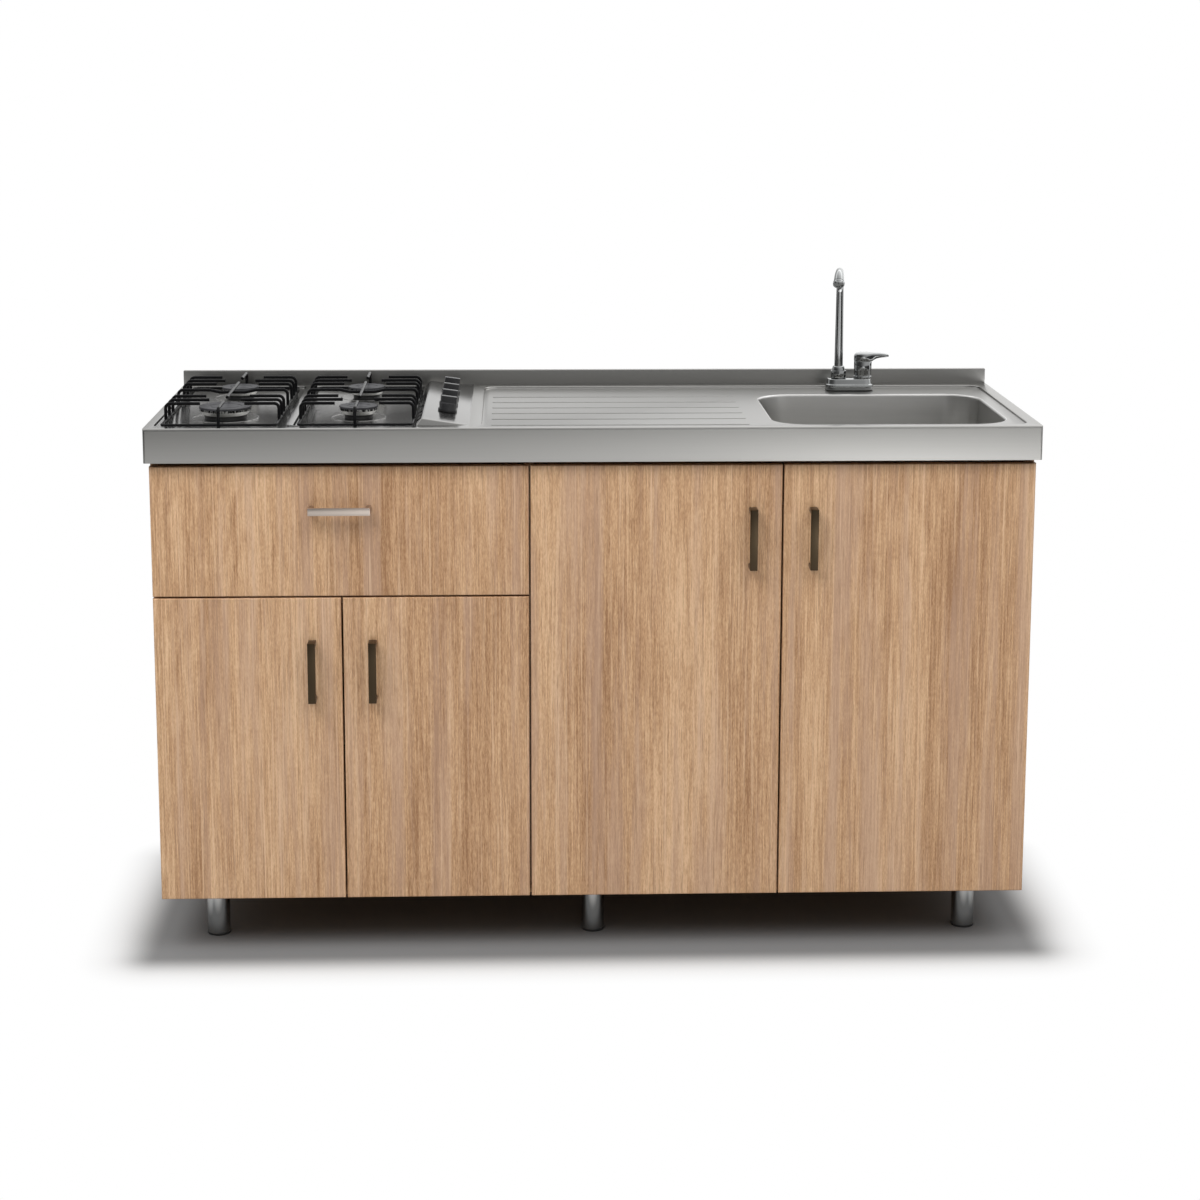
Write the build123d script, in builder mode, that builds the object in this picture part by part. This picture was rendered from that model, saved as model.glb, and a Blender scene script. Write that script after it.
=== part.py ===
from build123d import *
from math import atan2, cos, degrees, radians, sin, tan
import os

os.makedirs("parts", exist_ok=True)

# Worktop
worktop_length = 1500.0
worktop_depth = 520.0
worktop_height = 920.0
sheet = 1.0
fascia_height = 58.0
fascia_radius = 4.0
fascia_return = 6.0
upstand_height = 27.0
upstand_thickness = 8.0
core_thickness = 15.0
core_inset = 5.0
pressing_depth = 4.0
punch_length = 4.0

# Carcass
cabinet_overhang = 7.0
cabinet_setback = 32.0
service_gap = 12.0
board = 15.0
back_thickness = 3.0
leg_height = 100.0
partition_x = -110.0
rail_height = 45.0
drawer_rail_depth = 80.0
service_left = 1150.0
service_right = 1420.0
service_bottom = 400.0
service_top = 700.0

# Fronts
front_gap = 3.0
front_clearance = 3.0
front_top_drop = 66.0
drawer_front_height = 222.0
door_front_radius = 2.0
door_back_radius = 1.0

# Handles
handle_length = 104.0
handle_width = 13.0
handle_reach = 27.0
handle_bar = 6.0
handle_post = 8.0
handle_edge_distance = 49.5
handle_top_distance = 73.0
handle_radius = 1.0

# Hinges: a pin in a cup let into the door's back, and an arm on the carcass
hinge_pin_edge = 7.0
hinge_pin_depth = 7.5
hinge_pin_radius = 1.25
hinge_pin_reach = 9.0
hinge_eye_radius = 2.4
hinge_clearance = 0.05
hinge_width = 10.0
cup_radius = 17.5
cup_depth = 11.0
cup_wall = 0.8
cup_clearance = 0.1
cup_edge_distance = 3.0
cup_flange = 1.0
cup_ear_width = 16.0
cup_ear_reach = 9.0
arm_thickness = 1.6
arm_height = 24.0
arm_knee_out = 9.7
arm_knee_back = 1.9
arm_bend_back = 1.5
arm_end = 45.0
arm_foot_start = 12.0
arm_foot_overrun = 4.0
arm_foot_width = 16.0
hinge_end_distance = 90.0

# Drawer
drawer_length = 440.0
drawer_side_height = 142.0
drawer_side_low = 16.0
drawer_bottom_thickness = 3.0
drawer_groove = 6.0
drawer_groove_height = 10.0
drawer_back_drop = 12.0
groove_gap = 0.2
runner_thickness = 12.7
runner_height = 45.0
runner_steel = 1.2
runner_gap = 0.4
runner_play = 0.2
runner_length = 430.0
runner_setback = 2.0
runner_fixed_lip = 9.0
runner_middle_back = 4.5
runner_middle_lip = 6.5
runner_drawer_lip = 5.0

# Shelf
shelf_height = 350.0
shelf_setback = 60.0
shelf_clearance = 0.5
shelf_pin_inset = 40.0
pin_radius = 2.5
pin_depth = 9.0
pin_reach = 10.0

# Legs
leg_radius = 20.0
leg_wall = 1.5
leg_plate_radius = 32.0
leg_plate_thickness = 3.0
leg_screw_radius = 2.0
leg_screw_inset = 6.0
leg_inset = 83.0
leg_front = 120.0
leg_rear = 430.0
glide_height = 4.0
glide_spigot = 12.0
glide_clearance = 0.1
glide_edge = 1.0

# Hob
hob_length = 540.0
hob_opening_margin = 2.0
hob_opening_end = 3.0
pan_front = 29.0
pan_rear = 495.0
pan_left_low = 14.0
pan_left_high = 229.0
pan_right_low = 246.0
pan_right_high = 448.0
pan_radius = 14.0
burner_left = 120.5
burner_right = 348.0
hob_centre = 262.0
burner_offset = 116.0
cap_radius_large = 44.5
cap_radius_small = 33.0
cap_thickness = 4.0
cap_top_rise = 17.0
cap_recess = 1.2
cap_recess_share = 0.62
burner_neck_radius = 18.0
burner_neck_height = 6.0
head_low_inset = 7.0
head_high_inset = 1.0
injector_radius = 26.0
injector_depth = 46.0
injector_wall = 2.0

# Knob wedge
wedge_low = 449.0
wedge_ridge = 459.0
wedge_high = 538.0
wedge_rise = 11.0
wedge_front = 29.0
wedge_rear = 495.0
wedge_tail = 7.0
knob_x = 500.0
knob_pitch = 76.0
knob_radius = 15.0
knob_height = 26.0
knob_skirt_height = 4.0
knob_skirt_reach = 1.5
knob_grip = 12.0
knob_taper = 3.0
knob_bore_depth = 16.9
knob_gap = 0.5
stem_radius = 3.0
stem_length = 15.6
stem_clearance = 0.05
stem_hole_clearance = 1.0

# Gas parts
valve_size = 20.0
valve_height = 26.0
valve_drop = 16.0
manifold_radius = 6.0
manifold_bend = 14.0
manifold_drop = 45.0
manifold_overrun = 20.0
riser_radius = 4.0
riser_height = 0.6
valve_seat_gap = 1.2
pipe_radius = 3.0
pipe_bend = 18.0
pipe_height = 14.0
tray_depth = 38.0
tray_rear = 420.0
tray_notch = 10.0
manifold_rail_gap = 2.0
inlet_radius = 10.48
inlet_bore = 6.0
inlet_thread = 12.0

# Grates
grate_clearance = 0.3
rod_radius = 2.5
finger_radius = 2.75
grate_width = 196.0
grate_length = 440.0
grate_corner = 10.0
finger_rise = 28.0
finger_bend = 8.0
finger_pitch = 43.0
finger_gap_outer = 37.5
finger_gap_middle = 27.0
centre_gap = 29.0
crossbar_dip = 4.0
crossbar_dip_start = 40.0
crossbar_dip_end = 22.0

# Drainer
drainer_low = 560.0
drainer_high = 1480.0
drainer_front = 20.0
drainer_rear = 479.0
drainer_radius = 25.0
rib_first = 53.0
rib_pitch = 63.4
rib_count = 6
rib_low = 576.0
rib_high = 1012.0
rib_width = 6.0
rib_rise = 1.2

# Sink
bowl_low = 1056.0
bowl_width = 400.0
bowl_front = 51.0
bowl_length = 340.0
bowl_radius = 60.0
bowl_depth = 150.0
bowl_taper = 3.0
bowl_bottom_radius = 24.0
bowl_opening_margin = 2.0
waste_radius = 43.0
strainer_flange_radius = 55.0
strainer_depth = 46.0
strainer_wall = 1.2
strainer_hole_clearance = 1.0
strainer_draw_in = 8.0
strainer_thread_radius = 19.0
strainer_thread_length = 22.0
strainer_thread_wall = 3.0
strainer_nut_height = 7.0
strainer_nut_inset = 3.0
strainer_nut_overlap = 0.5
basket_clearance = 0.3
basket_wall = 1.0
basket_floor_height = 12.0
basket_floor_radius = 26.0
basket_mouth_radius = 36.0
basket_rim_radius = 46.0
basket_stem_radius = 3.0
basket_knob_radius = 6.0
basket_knob_height = 4.0
basket_hole_radius = 2.0
basket_rings = ((12.0, 8), (20.0, 12))
trap_radius = 20.0
trap_wall = 2.5
trap_drop = 150.0
trap_inlet_length = 60.0
trap_body_radius = 35.0
trap_body_height = 128.0
trap_ring_reach = 5.0
trap_ring_height = 14.0
trap_ring_level = 118.0
trap_dip_level = 20.0
trap_floor_gap = 15.0
trap_outlet_level = 95.0
trap_outlet_end = 515.0
trap_nut_reach = 5.0
trap_nut_length = 14.0

# Faucet
faucet_y = 452.0
faucet_x = 1234.6
faucet_width = 88.0
faucet_depth = 46.0
faucet_base_height = 20.0
faucet_corner = 17.0
faucet_step = 3.0
faucet_taper = 8.0
gasket_thickness = 2.0
gasket_inset = 1.0
faucet_gap = 0.3
spout_x = 1215.0
mixer_x = 1260.0
spout_radius = 8.0
spout_tip_radius = 7.0
spout_wall = 1.5
spout_nut_radius = 14.5
spout_nut_height = 24.0
spout_top = 227.0
spout_bend = 42.0
spout_bend_angle = 140.0
spout_tail = 1.0
spout_swing = 9.5
spout_socket_depth = 8.0
aerator_radius = 10.5
aerator_length = 8.0
aerator_taper = 4.0
mixer_radius = 16.5
mixer_height = 32.0
mixer_edge = 1.5
mixer_dome = 10.0
lever_pocket = 11.0
lever_reach = 48.0
lever_rise = 15.0
lever_wall_height = 6.0
lever_root = 20.0
lever_root_height = 13.0
lever_root_lift = 1.0
lever_root_corner = 3.0
lever_tip = 12.0
lever_tip_height = 3.0
lever_tip_corner = 1.4
lever_tip_lift = 3.0
lever_crown_share = 0.55
shank_radius = 10.2
shank_bore = 6.0
shank_length = 60.0
shank_clearance = 0.5
shank_nut_radius = 17.0
shank_nut_height = 8.0

# Planes and levels that the pieces share
fascia_y = (handle_reach + front_clearance + board - cabinet_setback - worktop_depth) / 2
left_x = -worktop_length / 2
top_z = worktop_height
floor_z = top_z - pressing_depth
core_top = floor_z - sheet
carcass_top = core_top - core_thickness
carcass_bottom = leg_height
carcass_y = fascia_y + cabinet_setback
back_y = fascia_y + worktop_depth - service_gap - back_thickness
door_back_y = carcass_y - front_clearance
door_front_y = door_back_y - board
fronts_top = top_z - front_top_drop
drawer_front_bottom = fronts_top - drawer_front_height
side_x = worktop_length / 2 - cabinet_overhang
inner_x = side_x - board
partition_left = partition_x - board / 2
partition_right = partition_x + board / 2
drawer_rail_top = drawer_front_bottom - front_gap / 2
rod_z = floor_z + grate_clearance + rod_radius
finger_z = rod_z + finger_rise
shelf_pin_rows = (carcass_y + shelf_setback + shelf_pin_inset, back_y - shelf_pin_inset)


def at_x(distance):
    """Model X of a point given as a distance from the worktop's left end."""
    return left_x + distance


def at_y(distance):
    """Model Y of a point given as a distance behind the fascia's face."""
    return fascia_y + distance


def save(piece, name):
    """Label a finished piece and write its file."""
    piece.part.label = name
    export_step(piece.part, f"parts/{name}.step")


def block(low, high, mode=Mode.ADD):
    """A box between two opposite corners."""
    with Locations(tuple((a + b) / 2 for a, b in zip(low, high))):
        Box(*[b - a for a, b in zip(low, high)], mode=mode)


def upright(x, y, z, radius, height, mode=Mode.ADD):
    """A cylinder that stands on the point given."""
    with Locations((x, y, z)):
        Cylinder(radius, height, align=(Align.CENTER, Align.CENTER, Align.MIN), mode=mode)


def peg(start, heading, radius, length, mode=Mode.ADD):
    """A cylinder that starts at a point and runs along a heading."""
    with Locations(Plane(start, z_dir=heading)):
        Cylinder(radius, length, align=(Align.CENTER, Align.CENTER, Align.MIN), mode=mode)


def pin_holes(wall_x, into):
    """Blind holes for the shelf pins, bored into the board whose face lies at wall_x."""
    for y in shelf_pin_rows:
        peg((wall_x, y, shelf_height - pin_radius), (into, 0, 0), pin_radius, pin_depth, Mode.SUBTRACT)


def rod(points, radius, bend=0.0):
    """A round rod along straight runs joined by bends of one radius."""
    with BuildLine() as line:
        if bend:
            FilletPolyline(*points, radius=bend)
        else:
            Polyline(*points)
    start = Vector(*points[0])
    heading = Vector(*points[1]) - start
    with BuildSketch(Plane(origin=start, z_dir=heading)) as section:
        Circle(radius)
    sweep(section.sketch, path=line.wire())


# Side panels: boards that stand on the leg plates' level and carry the worktop core
for name, low_x in (("side_panel_left", -side_x), ("side_panel_right", inner_x)):
    with BuildPart() as side_panel:
        block((low_x, carcass_y, carcass_bottom), (low_x + board, back_y, carcass_top))
        if name == "side_panel_left":
            pin_holes(-inner_x, -1)
    save(side_panel, name)

# Base panel: the cabinet's floor, between the side panels
with BuildPart() as base_panel:
    block((-inner_x, carcass_y, carcass_bottom), (inner_x, back_y, carcass_bottom + board))
save(base_panel, "base_panel")

# Centre partition: stands on the base panel and parts the drawer side from the sink side
with BuildPart() as centre_partition:
    block(
        (partition_left, carcass_y, carcass_bottom + board),
        (partition_right, back_y, carcass_top),
    )
    pin_holes(partition_left, 1)
save(centre_partition, "centre_partition")

# Top rails: rails on edge behind the fascia and along the back, in each bay
bays = ((-inner_x, partition_left), (partition_right, inner_x))
with BuildPart() as top_rails:
    for low_x, high_x in bays:
        for low_y in (carcass_y, back_y - board):
            block(
                (low_x, low_y, carcass_top - rail_height),
                (high_x, low_y + board, carcass_top),
            )
save(top_rails, "top_rails")

# Drawer rail: a flat board between the drawer and the small doors
with BuildPart() as drawer_rail:
    block(
        (-inner_x, carcass_y, drawer_rail_top - board),
        (partition_left, carcass_y + drawer_rail_depth, drawer_rail_top),
    )
save(drawer_rail, "drawer_rail")

# Back panel: thin hardboard with a service opening behind the sink
with BuildPart() as back_panel:
    block((-side_x, back_y, carcass_bottom), (side_x, back_y + back_thickness, carcass_top))
    block(
        (at_x(service_left), back_y - 1, service_bottom),
        (at_x(service_right), back_y + back_thickness + 1, service_top),
        mode=Mode.SUBTRACT,
    )
save(back_panel, "back_panel")

# Shelf on four pins in the small cupboard
with BuildPart() as shelf:
    block(
        (-inner_x + shelf_clearance, carcass_y + shelf_setback, shelf_height),
        (partition_left - shelf_clearance, back_y - shelf_clearance, shelf_height + board),
    )
save(shelf, "shelf")

with BuildPart() as shelf_pins:
    for wall_x, into in ((-inner_x, -1), (partition_left, 1)):
        for y in shelf_pin_rows:
            start = (wall_x + into * pin_depth, y, shelf_height - pin_radius)
            peg(start, (-into, 0, 0), pin_radius, pin_depth + pin_reach)
save(shelf_pins, "shelf_pins")

# Legs: chrome tubes with a round plate at the top and a plastic glide in the foot
leg_x = side_x - leg_inset
leg_places = [(x, at_y(y)) for x in (-leg_x, 0, leg_x) for y in (leg_front, leg_rear)]
tube_top = carcass_bottom - leg_plate_thickness
with BuildPart() as leg_tubes:
    for x, y in leg_places:
        upright(x, y, glide_height, leg_radius, tube_top - glide_height)
        upright(x, y, glide_height, leg_radius - leg_wall, tube_top - glide_height, Mode.SUBTRACT)
save(leg_tubes, "leg_tubes")

with BuildPart() as leg_plates:
    for x, y in leg_places:
        upright(x, y, tube_top, leg_plate_radius, leg_plate_thickness)
        with Locations((x, y, tube_top)):
            with PolarLocations(leg_plate_radius - leg_screw_inset, 3):
                Cylinder(leg_screw_radius, 3 * leg_plate_thickness, mode=Mode.SUBTRACT)
save(leg_plates, "leg_plates")

with BuildPart() as leg_glides:
    for x, y in leg_places:
        upright(x, y, 0, leg_radius, glide_height)
        upright(x, y, glide_height, leg_radius - leg_wall - glide_clearance, glide_spigot)
    fillet(leg_glides.faces().sort_by(Axis.Z)[0 : len(leg_places)].edges(), glide_edge)
save(leg_glides, "leg_glides")


# Worktop sheet: skirts all round, an upstand at the wall and the pressed drainer
def worktop_shell(inset, bottom, top):
    """The worktop's outer form, drawn in by the inset, with its front edges rounded."""
    with BuildPart() as shell:
        block((left_x + inset, at_y(inset), bottom), (-left_x - inset, at_y(worktop_depth - inset), top))
        front = shell.faces().sort_by(Axis.Y)[0]
        top_edge = front.edges().filter_by(Axis.X).sort_by(Axis.Z)[-1:]
        fillet(front.edges().filter_by(Axis.Z) + top_edge, fascia_radius - inset)
    return shell.part


fascia_bottom = top_z - fascia_height
drainer_centre = (at_x((drainer_low + drainer_high) / 2), at_y((drainer_front + drainer_rear) / 2))
drainer_size = (drainer_high - drainer_low, drainer_rear - drainer_front)
bowl_centre = (at_x(bowl_low + bowl_width / 2), at_y(bowl_front + bowl_length / 2))
shank_places = [(at_x(spout_x), at_y(faucet_y)), (at_x(mixer_x), at_y(faucet_y))]
seat_shell = worktop_shell(0, fascia_bottom, top_z)
seat_hollow = worktop_shell(sheet, fascia_bottom + sheet, top_z - sheet)
with BuildPart() as worktop_sheet:
    add(seat_shell)
    add(seat_hollow, mode=Mode.SUBTRACT)
    block(
        (left_x + fascia_return, at_y(fascia_return), fascia_bottom - 1),
        (-left_x - fascia_return, at_y(worktop_depth - fascia_return), fascia_bottom + 2 * sheet),
        mode=Mode.SUBTRACT,
    )
    block(
        (left_x, at_y(worktop_depth - upstand_thickness), top_z),
        (-left_x, at_y(worktop_depth), top_z + upstand_height),
    )
    block(
        (left_x + sheet, at_y(worktop_depth - upstand_thickness + sheet), top_z),
        (-left_x - sheet, at_y(worktop_depth + 1), top_z + upstand_height - sheet),
        mode=Mode.SUBTRACT,
    )
    block(
        (left_x + sheet, at_y(sheet), top_z - 2 * sheet),
        (at_x(hob_length), at_y(worktop_depth - upstand_thickness), top_z + sheet),
        mode=Mode.SUBTRACT,
    )
    with BuildSketch(Plane.XY.offset(core_top)):
        with Locations(drainer_centre):
            RectangleRounded(
                drainer_size[0] + 2 * sheet,
                drainer_size[1] + 2 * sheet,
                drainer_radius + sheet,
            )
    extrude(amount=top_z - core_top)
    with BuildSketch(Plane.XY.offset(floor_z)):
        with Locations(drainer_centre):
            RectangleRounded(*drainer_size, drainer_radius)
    extrude(amount=pressing_depth + 1, mode=Mode.SUBTRACT)
    for count in range(rib_count):
        rib_y = at_y(rib_first + rib_pitch * count)
        rib_centre = (at_x((rib_low + rib_high) / 2), rib_y)
        with BuildSketch(Plane.XY.offset(floor_z)):
            with Locations(rib_centre):
                SlotOverall(rib_high - rib_low, rib_width)
        extrude(amount=rib_rise)
        with BuildSketch(Plane.XY.offset(core_top)):
            with Locations(rib_centre):
                SlotOverall(rib_high - rib_low - 2 * sheet, rib_width - 2 * sheet)
        extrude(amount=rib_rise, mode=Mode.SUBTRACT)
    with BuildSketch(Plane.XY.offset(core_top)):
        with Locations(bowl_centre):
            RectangleRounded(bowl_width, bowl_length, bowl_radius)
        with Locations(*shank_places):
            Circle(shank_radius + shank_clearance)
    extrude(amount=pressing_depth, mode=Mode.SUBTRACT)
save(worktop_sheet, "worktop_sheet")

# Hob plate: a polished plate with two pressed pans and the raised wedge for the knobs
burners = [
    (at_x(burner_left), at_y(hob_centre - burner_offset), cap_radius_large),
    (at_x(burner_right), at_y(hob_centre - burner_offset), cap_radius_small),
    (at_x(burner_left), at_y(hob_centre + burner_offset), cap_radius_small),
    (at_x(burner_right), at_y(hob_centre + burner_offset), cap_radius_small),
]
knob_places = [at_y(hob_centre + knob_pitch * (count - 1.5)) for count in range(4)]
wedge_slope = degrees(atan2(wedge_rise, wedge_high - wedge_ridge))
knob_seat_z = top_z + wedge_rise * (wedge_high - knob_x) / (wedge_high - wedge_ridge)
knob_axis = Vector(sin(radians(wedge_slope)), 0, cos(radians(wedge_slope)))
pans = ((pan_left_low, pan_left_high), (pan_right_low, pan_right_high))
with BuildPart() as hob_plate:
    block(
        (left_x + sheet, at_y(sheet), top_z - sheet),
        (at_x(hob_length), at_y(worktop_depth - upstand_thickness), top_z),
    )
    for low, high in pans:
        centre = (at_x((low + high) / 2), at_y((pan_front + pan_rear) / 2))
        with BuildSketch(Plane.XY.offset(core_top)):
            with Locations(centre):
                RectangleRounded(
                    high - low + 2 * sheet,
                    pan_rear - pan_front + 2 * sheet,
                    pan_radius + sheet,
                )
        extrude(amount=top_z - core_top)
        with BuildSketch(Plane.XY.offset(floor_z)):
            with Locations(centre):
                RectangleRounded(high - low, pan_rear - pan_front, pan_radius)
        extrude(amount=pressing_depth + 1, mode=Mode.SUBTRACT)
    with BuildSketch(Plane.XZ.offset(-at_y(wedge_rear))):
        with BuildLine():
            Polyline(
                (at_x(wedge_low), top_z - sheet),
                (at_x(wedge_low), top_z),
                (at_x(wedge_ridge), top_z + wedge_rise),
                (at_x(wedge_high), top_z),
                (at_x(wedge_high), top_z - sheet),
                close=True,
            )
        make_face()
    extrude(amount=wedge_rear - wedge_front)
    with BuildSketch(Plane.XZ.offset(-at_y(wedge_rear - sheet))):
        with BuildLine():
            Polyline(
                (at_x(wedge_low + sheet), top_z - 2 * sheet),
                (at_x(wedge_low + sheet), top_z - sheet),
                (at_x(wedge_ridge), top_z + wedge_rise - sheet),
                (at_x(wedge_high - wedge_tail), top_z - sheet),
                (at_x(wedge_high - wedge_tail), top_z - 2 * sheet),
                close=True,
            )
        make_face()
    extrude(amount=wedge_rear - wedge_front - 2 * sheet, mode=Mode.SUBTRACT)
    for x, y, radius in burners:
        upright(x, y, core_top - 1, burner_neck_radius, punch_length, Mode.SUBTRACT)
    for y in knob_places:
        with Locations(Plane((at_x(knob_x), y, knob_seat_z), z_dir=knob_axis)):
            Cylinder(stem_radius + stem_hole_clearance, valve_drop, mode=Mode.SUBTRACT)
save(hob_plate, "hob_plate")

# Worktop core: a board under the steel, open at the hob and round the bowl
with BuildPart() as worktop_core:
    block(
        (left_x + core_inset, at_y(core_inset), carcass_top),
        (-left_x - core_inset, at_y(worktop_depth - core_inset), core_top),
    )
    block(
        (at_x(pan_left_low - hob_opening_margin), at_y(pan_front - hob_opening_margin), carcass_top - 1),
        (at_x(hob_length - hob_opening_end), at_y(pan_rear + hob_opening_margin), core_top + 1),
        mode=Mode.SUBTRACT,
    )
    with BuildSketch(Plane.XY.offset(carcass_top)):
        with Locations(bowl_centre):
            RectangleRounded(
                bowl_width + 2 * bowl_opening_margin,
                bowl_length + 2 * bowl_opening_margin,
                bowl_radius + bowl_opening_margin,
            )
        with Locations(*shank_places):
            Circle(shank_radius + 2 * shank_clearance)
    extrude(amount=core_thickness, mode=Mode.SUBTRACT)
save(worktop_core, "worktop_core")

# Sink bowl: drawn steel, welded under the drainer's opening
bowl_floor_z = core_top - bowl_depth


def bowl_form(outset):
    """The bowl's form, larger than its opening by the outset on every side."""
    with BuildPart() as form:
        with BuildSketch(Plane.XY.offset(core_top)):
            with Locations(bowl_centre):
                RectangleRounded(bowl_width + 2 * outset, bowl_length + 2 * outset, bowl_radius + outset)
        extrude(amount=-(bowl_depth - sheet + outset), taper=bowl_taper)
        fillet(form.faces().sort_by(Axis.Z)[0].edges(), bowl_bottom_radius + outset)
    return form.part


bowl_outside = bowl_form(sheet)
bowl_inside = bowl_form(0)
with BuildPart() as sink_bowl:
    add(bowl_outside)
    add(bowl_inside, mode=Mode.SUBTRACT)
    upright(*bowl_centre, bowl_floor_z - 1, waste_radius, punch_length, Mode.SUBTRACT)
save(sink_bowl, "sink_bowl")

# Burners: aluminium heads on short necks, under flat enamelled caps
cap_bottom = top_z + cap_top_rise - cap_thickness
head_bottom = floor_z + burner_neck_height
with BuildPart() as burner_heads:
    for x, y, radius in burners:
        with BuildSketch(Plane.XZ.offset(-y)):
            with BuildLine():
                Polyline(
                    (x, core_top),
                    (x + burner_neck_radius, core_top),
                    (x + burner_neck_radius, head_bottom),
                    (x + radius - head_low_inset, head_bottom),
                    (x + radius - head_high_inset, cap_bottom),
                    (x, cap_bottom),
                    close=True,
                )
            make_face()
        revolve(axis=Axis((x, y, 0), (0, 0, 1)))
save(burner_heads, "burner_heads")

with BuildPart() as burner_caps:
    for x, y, radius in burners:
        upright(x, y, cap_bottom, radius, cap_thickness)
        recess_z = cap_bottom + cap_thickness - cap_recess
        upright(x, y, recess_z, cap_recess_share * radius, 2 * cap_recess, Mode.SUBTRACT)
save(burner_caps, "burner_caps")

# Injector cups: hang under the pans at each burner and take the gas pipes
injector_bottom = core_top - injector_depth
with BuildPart() as injector_cups:
    for x, y, radius in burners:
        upright(x, y, injector_bottom, injector_radius, injector_depth)
        inside_radius = injector_radius - injector_wall
        upright(x, y, injector_bottom + injector_wall, inside_radius, injector_depth, Mode.SUBTRACT)
save(injector_cups, "injector_cups")

# Valves: brass bodies under the wedge, each with a stem that carries its knob
with BuildPart() as gas_valves:
    for y in knob_places:
        seat = Plane((at_x(knob_x), y, knob_seat_z), z_dir=knob_axis, x_dir=(0, 1, 0))
        with Locations(seat.offset(-valve_drop)):
            Box(valve_size, valve_size, valve_height, align=(Align.CENTER, Align.CENTER, Align.MAX))
            Cylinder(
                stem_radius,
                valve_drop + stem_length,
                align=(Align.CENTER, Align.CENTER, Align.MIN),
            )
save(gas_valves, "gas_valves")

# Gas manifold: a tube under the valves and a down-turned inlet at the back
valve_bottom = Vector(at_x(knob_x), 0, knob_seat_z) - knob_axis * (valve_drop + valve_height)
manifold_x = valve_bottom.X
manifold_z = valve_bottom.Z - manifold_radius - valve_seat_gap
inlet_y = back_y - board - manifold_radius - manifold_rail_gap
thread_z = manifold_z - manifold_drop - inlet_thread
with BuildPart() as gas_manifold:
    rod(
        [
            (manifold_x, knob_places[0] - manifold_overrun, manifold_z),
            (manifold_x, inlet_y, manifold_z),
            (manifold_x, inlet_y, manifold_z - manifold_drop),
        ],
        manifold_radius,
        manifold_bend,
    )
    upright(manifold_x, inlet_y, thread_z, inlet_radius, inlet_thread)
    upright(manifold_x, inlet_y, thread_z - 1, inlet_bore, inlet_thread, Mode.SUBTRACT)
    for y in knob_places:
        upright(manifold_x, y, manifold_z, riser_radius, manifold_radius + riser_height)
save(gas_manifold, "gas_manifold")

# Gas pipes: from each valve's side to its burner's injector cup
pipe_z = injector_bottom + pipe_height
lean = radians(wedge_slope)
valve_axis_at_pipe = at_x(knob_x) - (knob_seat_z - pipe_z + pipe_radius) * tan(lean)
valve_side = valve_axis_at_pipe - valve_size / 2 / cos(lean)
row_front, row_rear = burners[0][1], burners[2][1]
routes = (
    [(valve_side, knob_places[0]), (burners[1][0] + injector_radius, knob_places[0])],
    [
        (valve_side, knob_places[1]),
        (burners[0][0], knob_places[1]),
        (burners[0][0], row_front + injector_radius),
    ],
    [
        (valve_side, knob_places[2]),
        (burners[2][0], knob_places[2]),
        (burners[2][0], row_rear - injector_radius),
    ],
    [(valve_side, knob_places[3]), (burners[3][0] + injector_radius, knob_places[3])],
)
with BuildPart() as gas_pipes:
    for route in routes:
        rod([(x, y, pipe_z) for x, y in route], pipe_radius, pipe_bend if len(route) > 2 else 0)
save(gas_pipes, "gas_pipes")

# Hob tray: a sheet box under the burners, screwed to the side panel and the front rail
tray_low = (-inner_x, carcass_y + board, carcass_top - tray_depth)
tray_high = (at_x(hob_length - hob_opening_end), at_y(tray_rear), carcass_top)
with BuildPart() as hob_tray:
    block(tray_low, tray_high)
    block(
        (tray_low[0] + sheet, tray_low[1] + sheet, tray_low[2] + sheet),
        (tray_high[0] - sheet, tray_high[1] - sheet, tray_high[2] + 1),
        mode=Mode.SUBTRACT,
    )
    block(
        (manifold_x - tray_notch, tray_high[1] - 2 * sheet, manifold_z - tray_notch),
        (manifold_x + tray_notch, tray_high[1] + sheet, tray_high[2] + 1),
        mode=Mode.SUBTRACT,
    )
save(hob_tray, "hob_tray")


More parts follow.
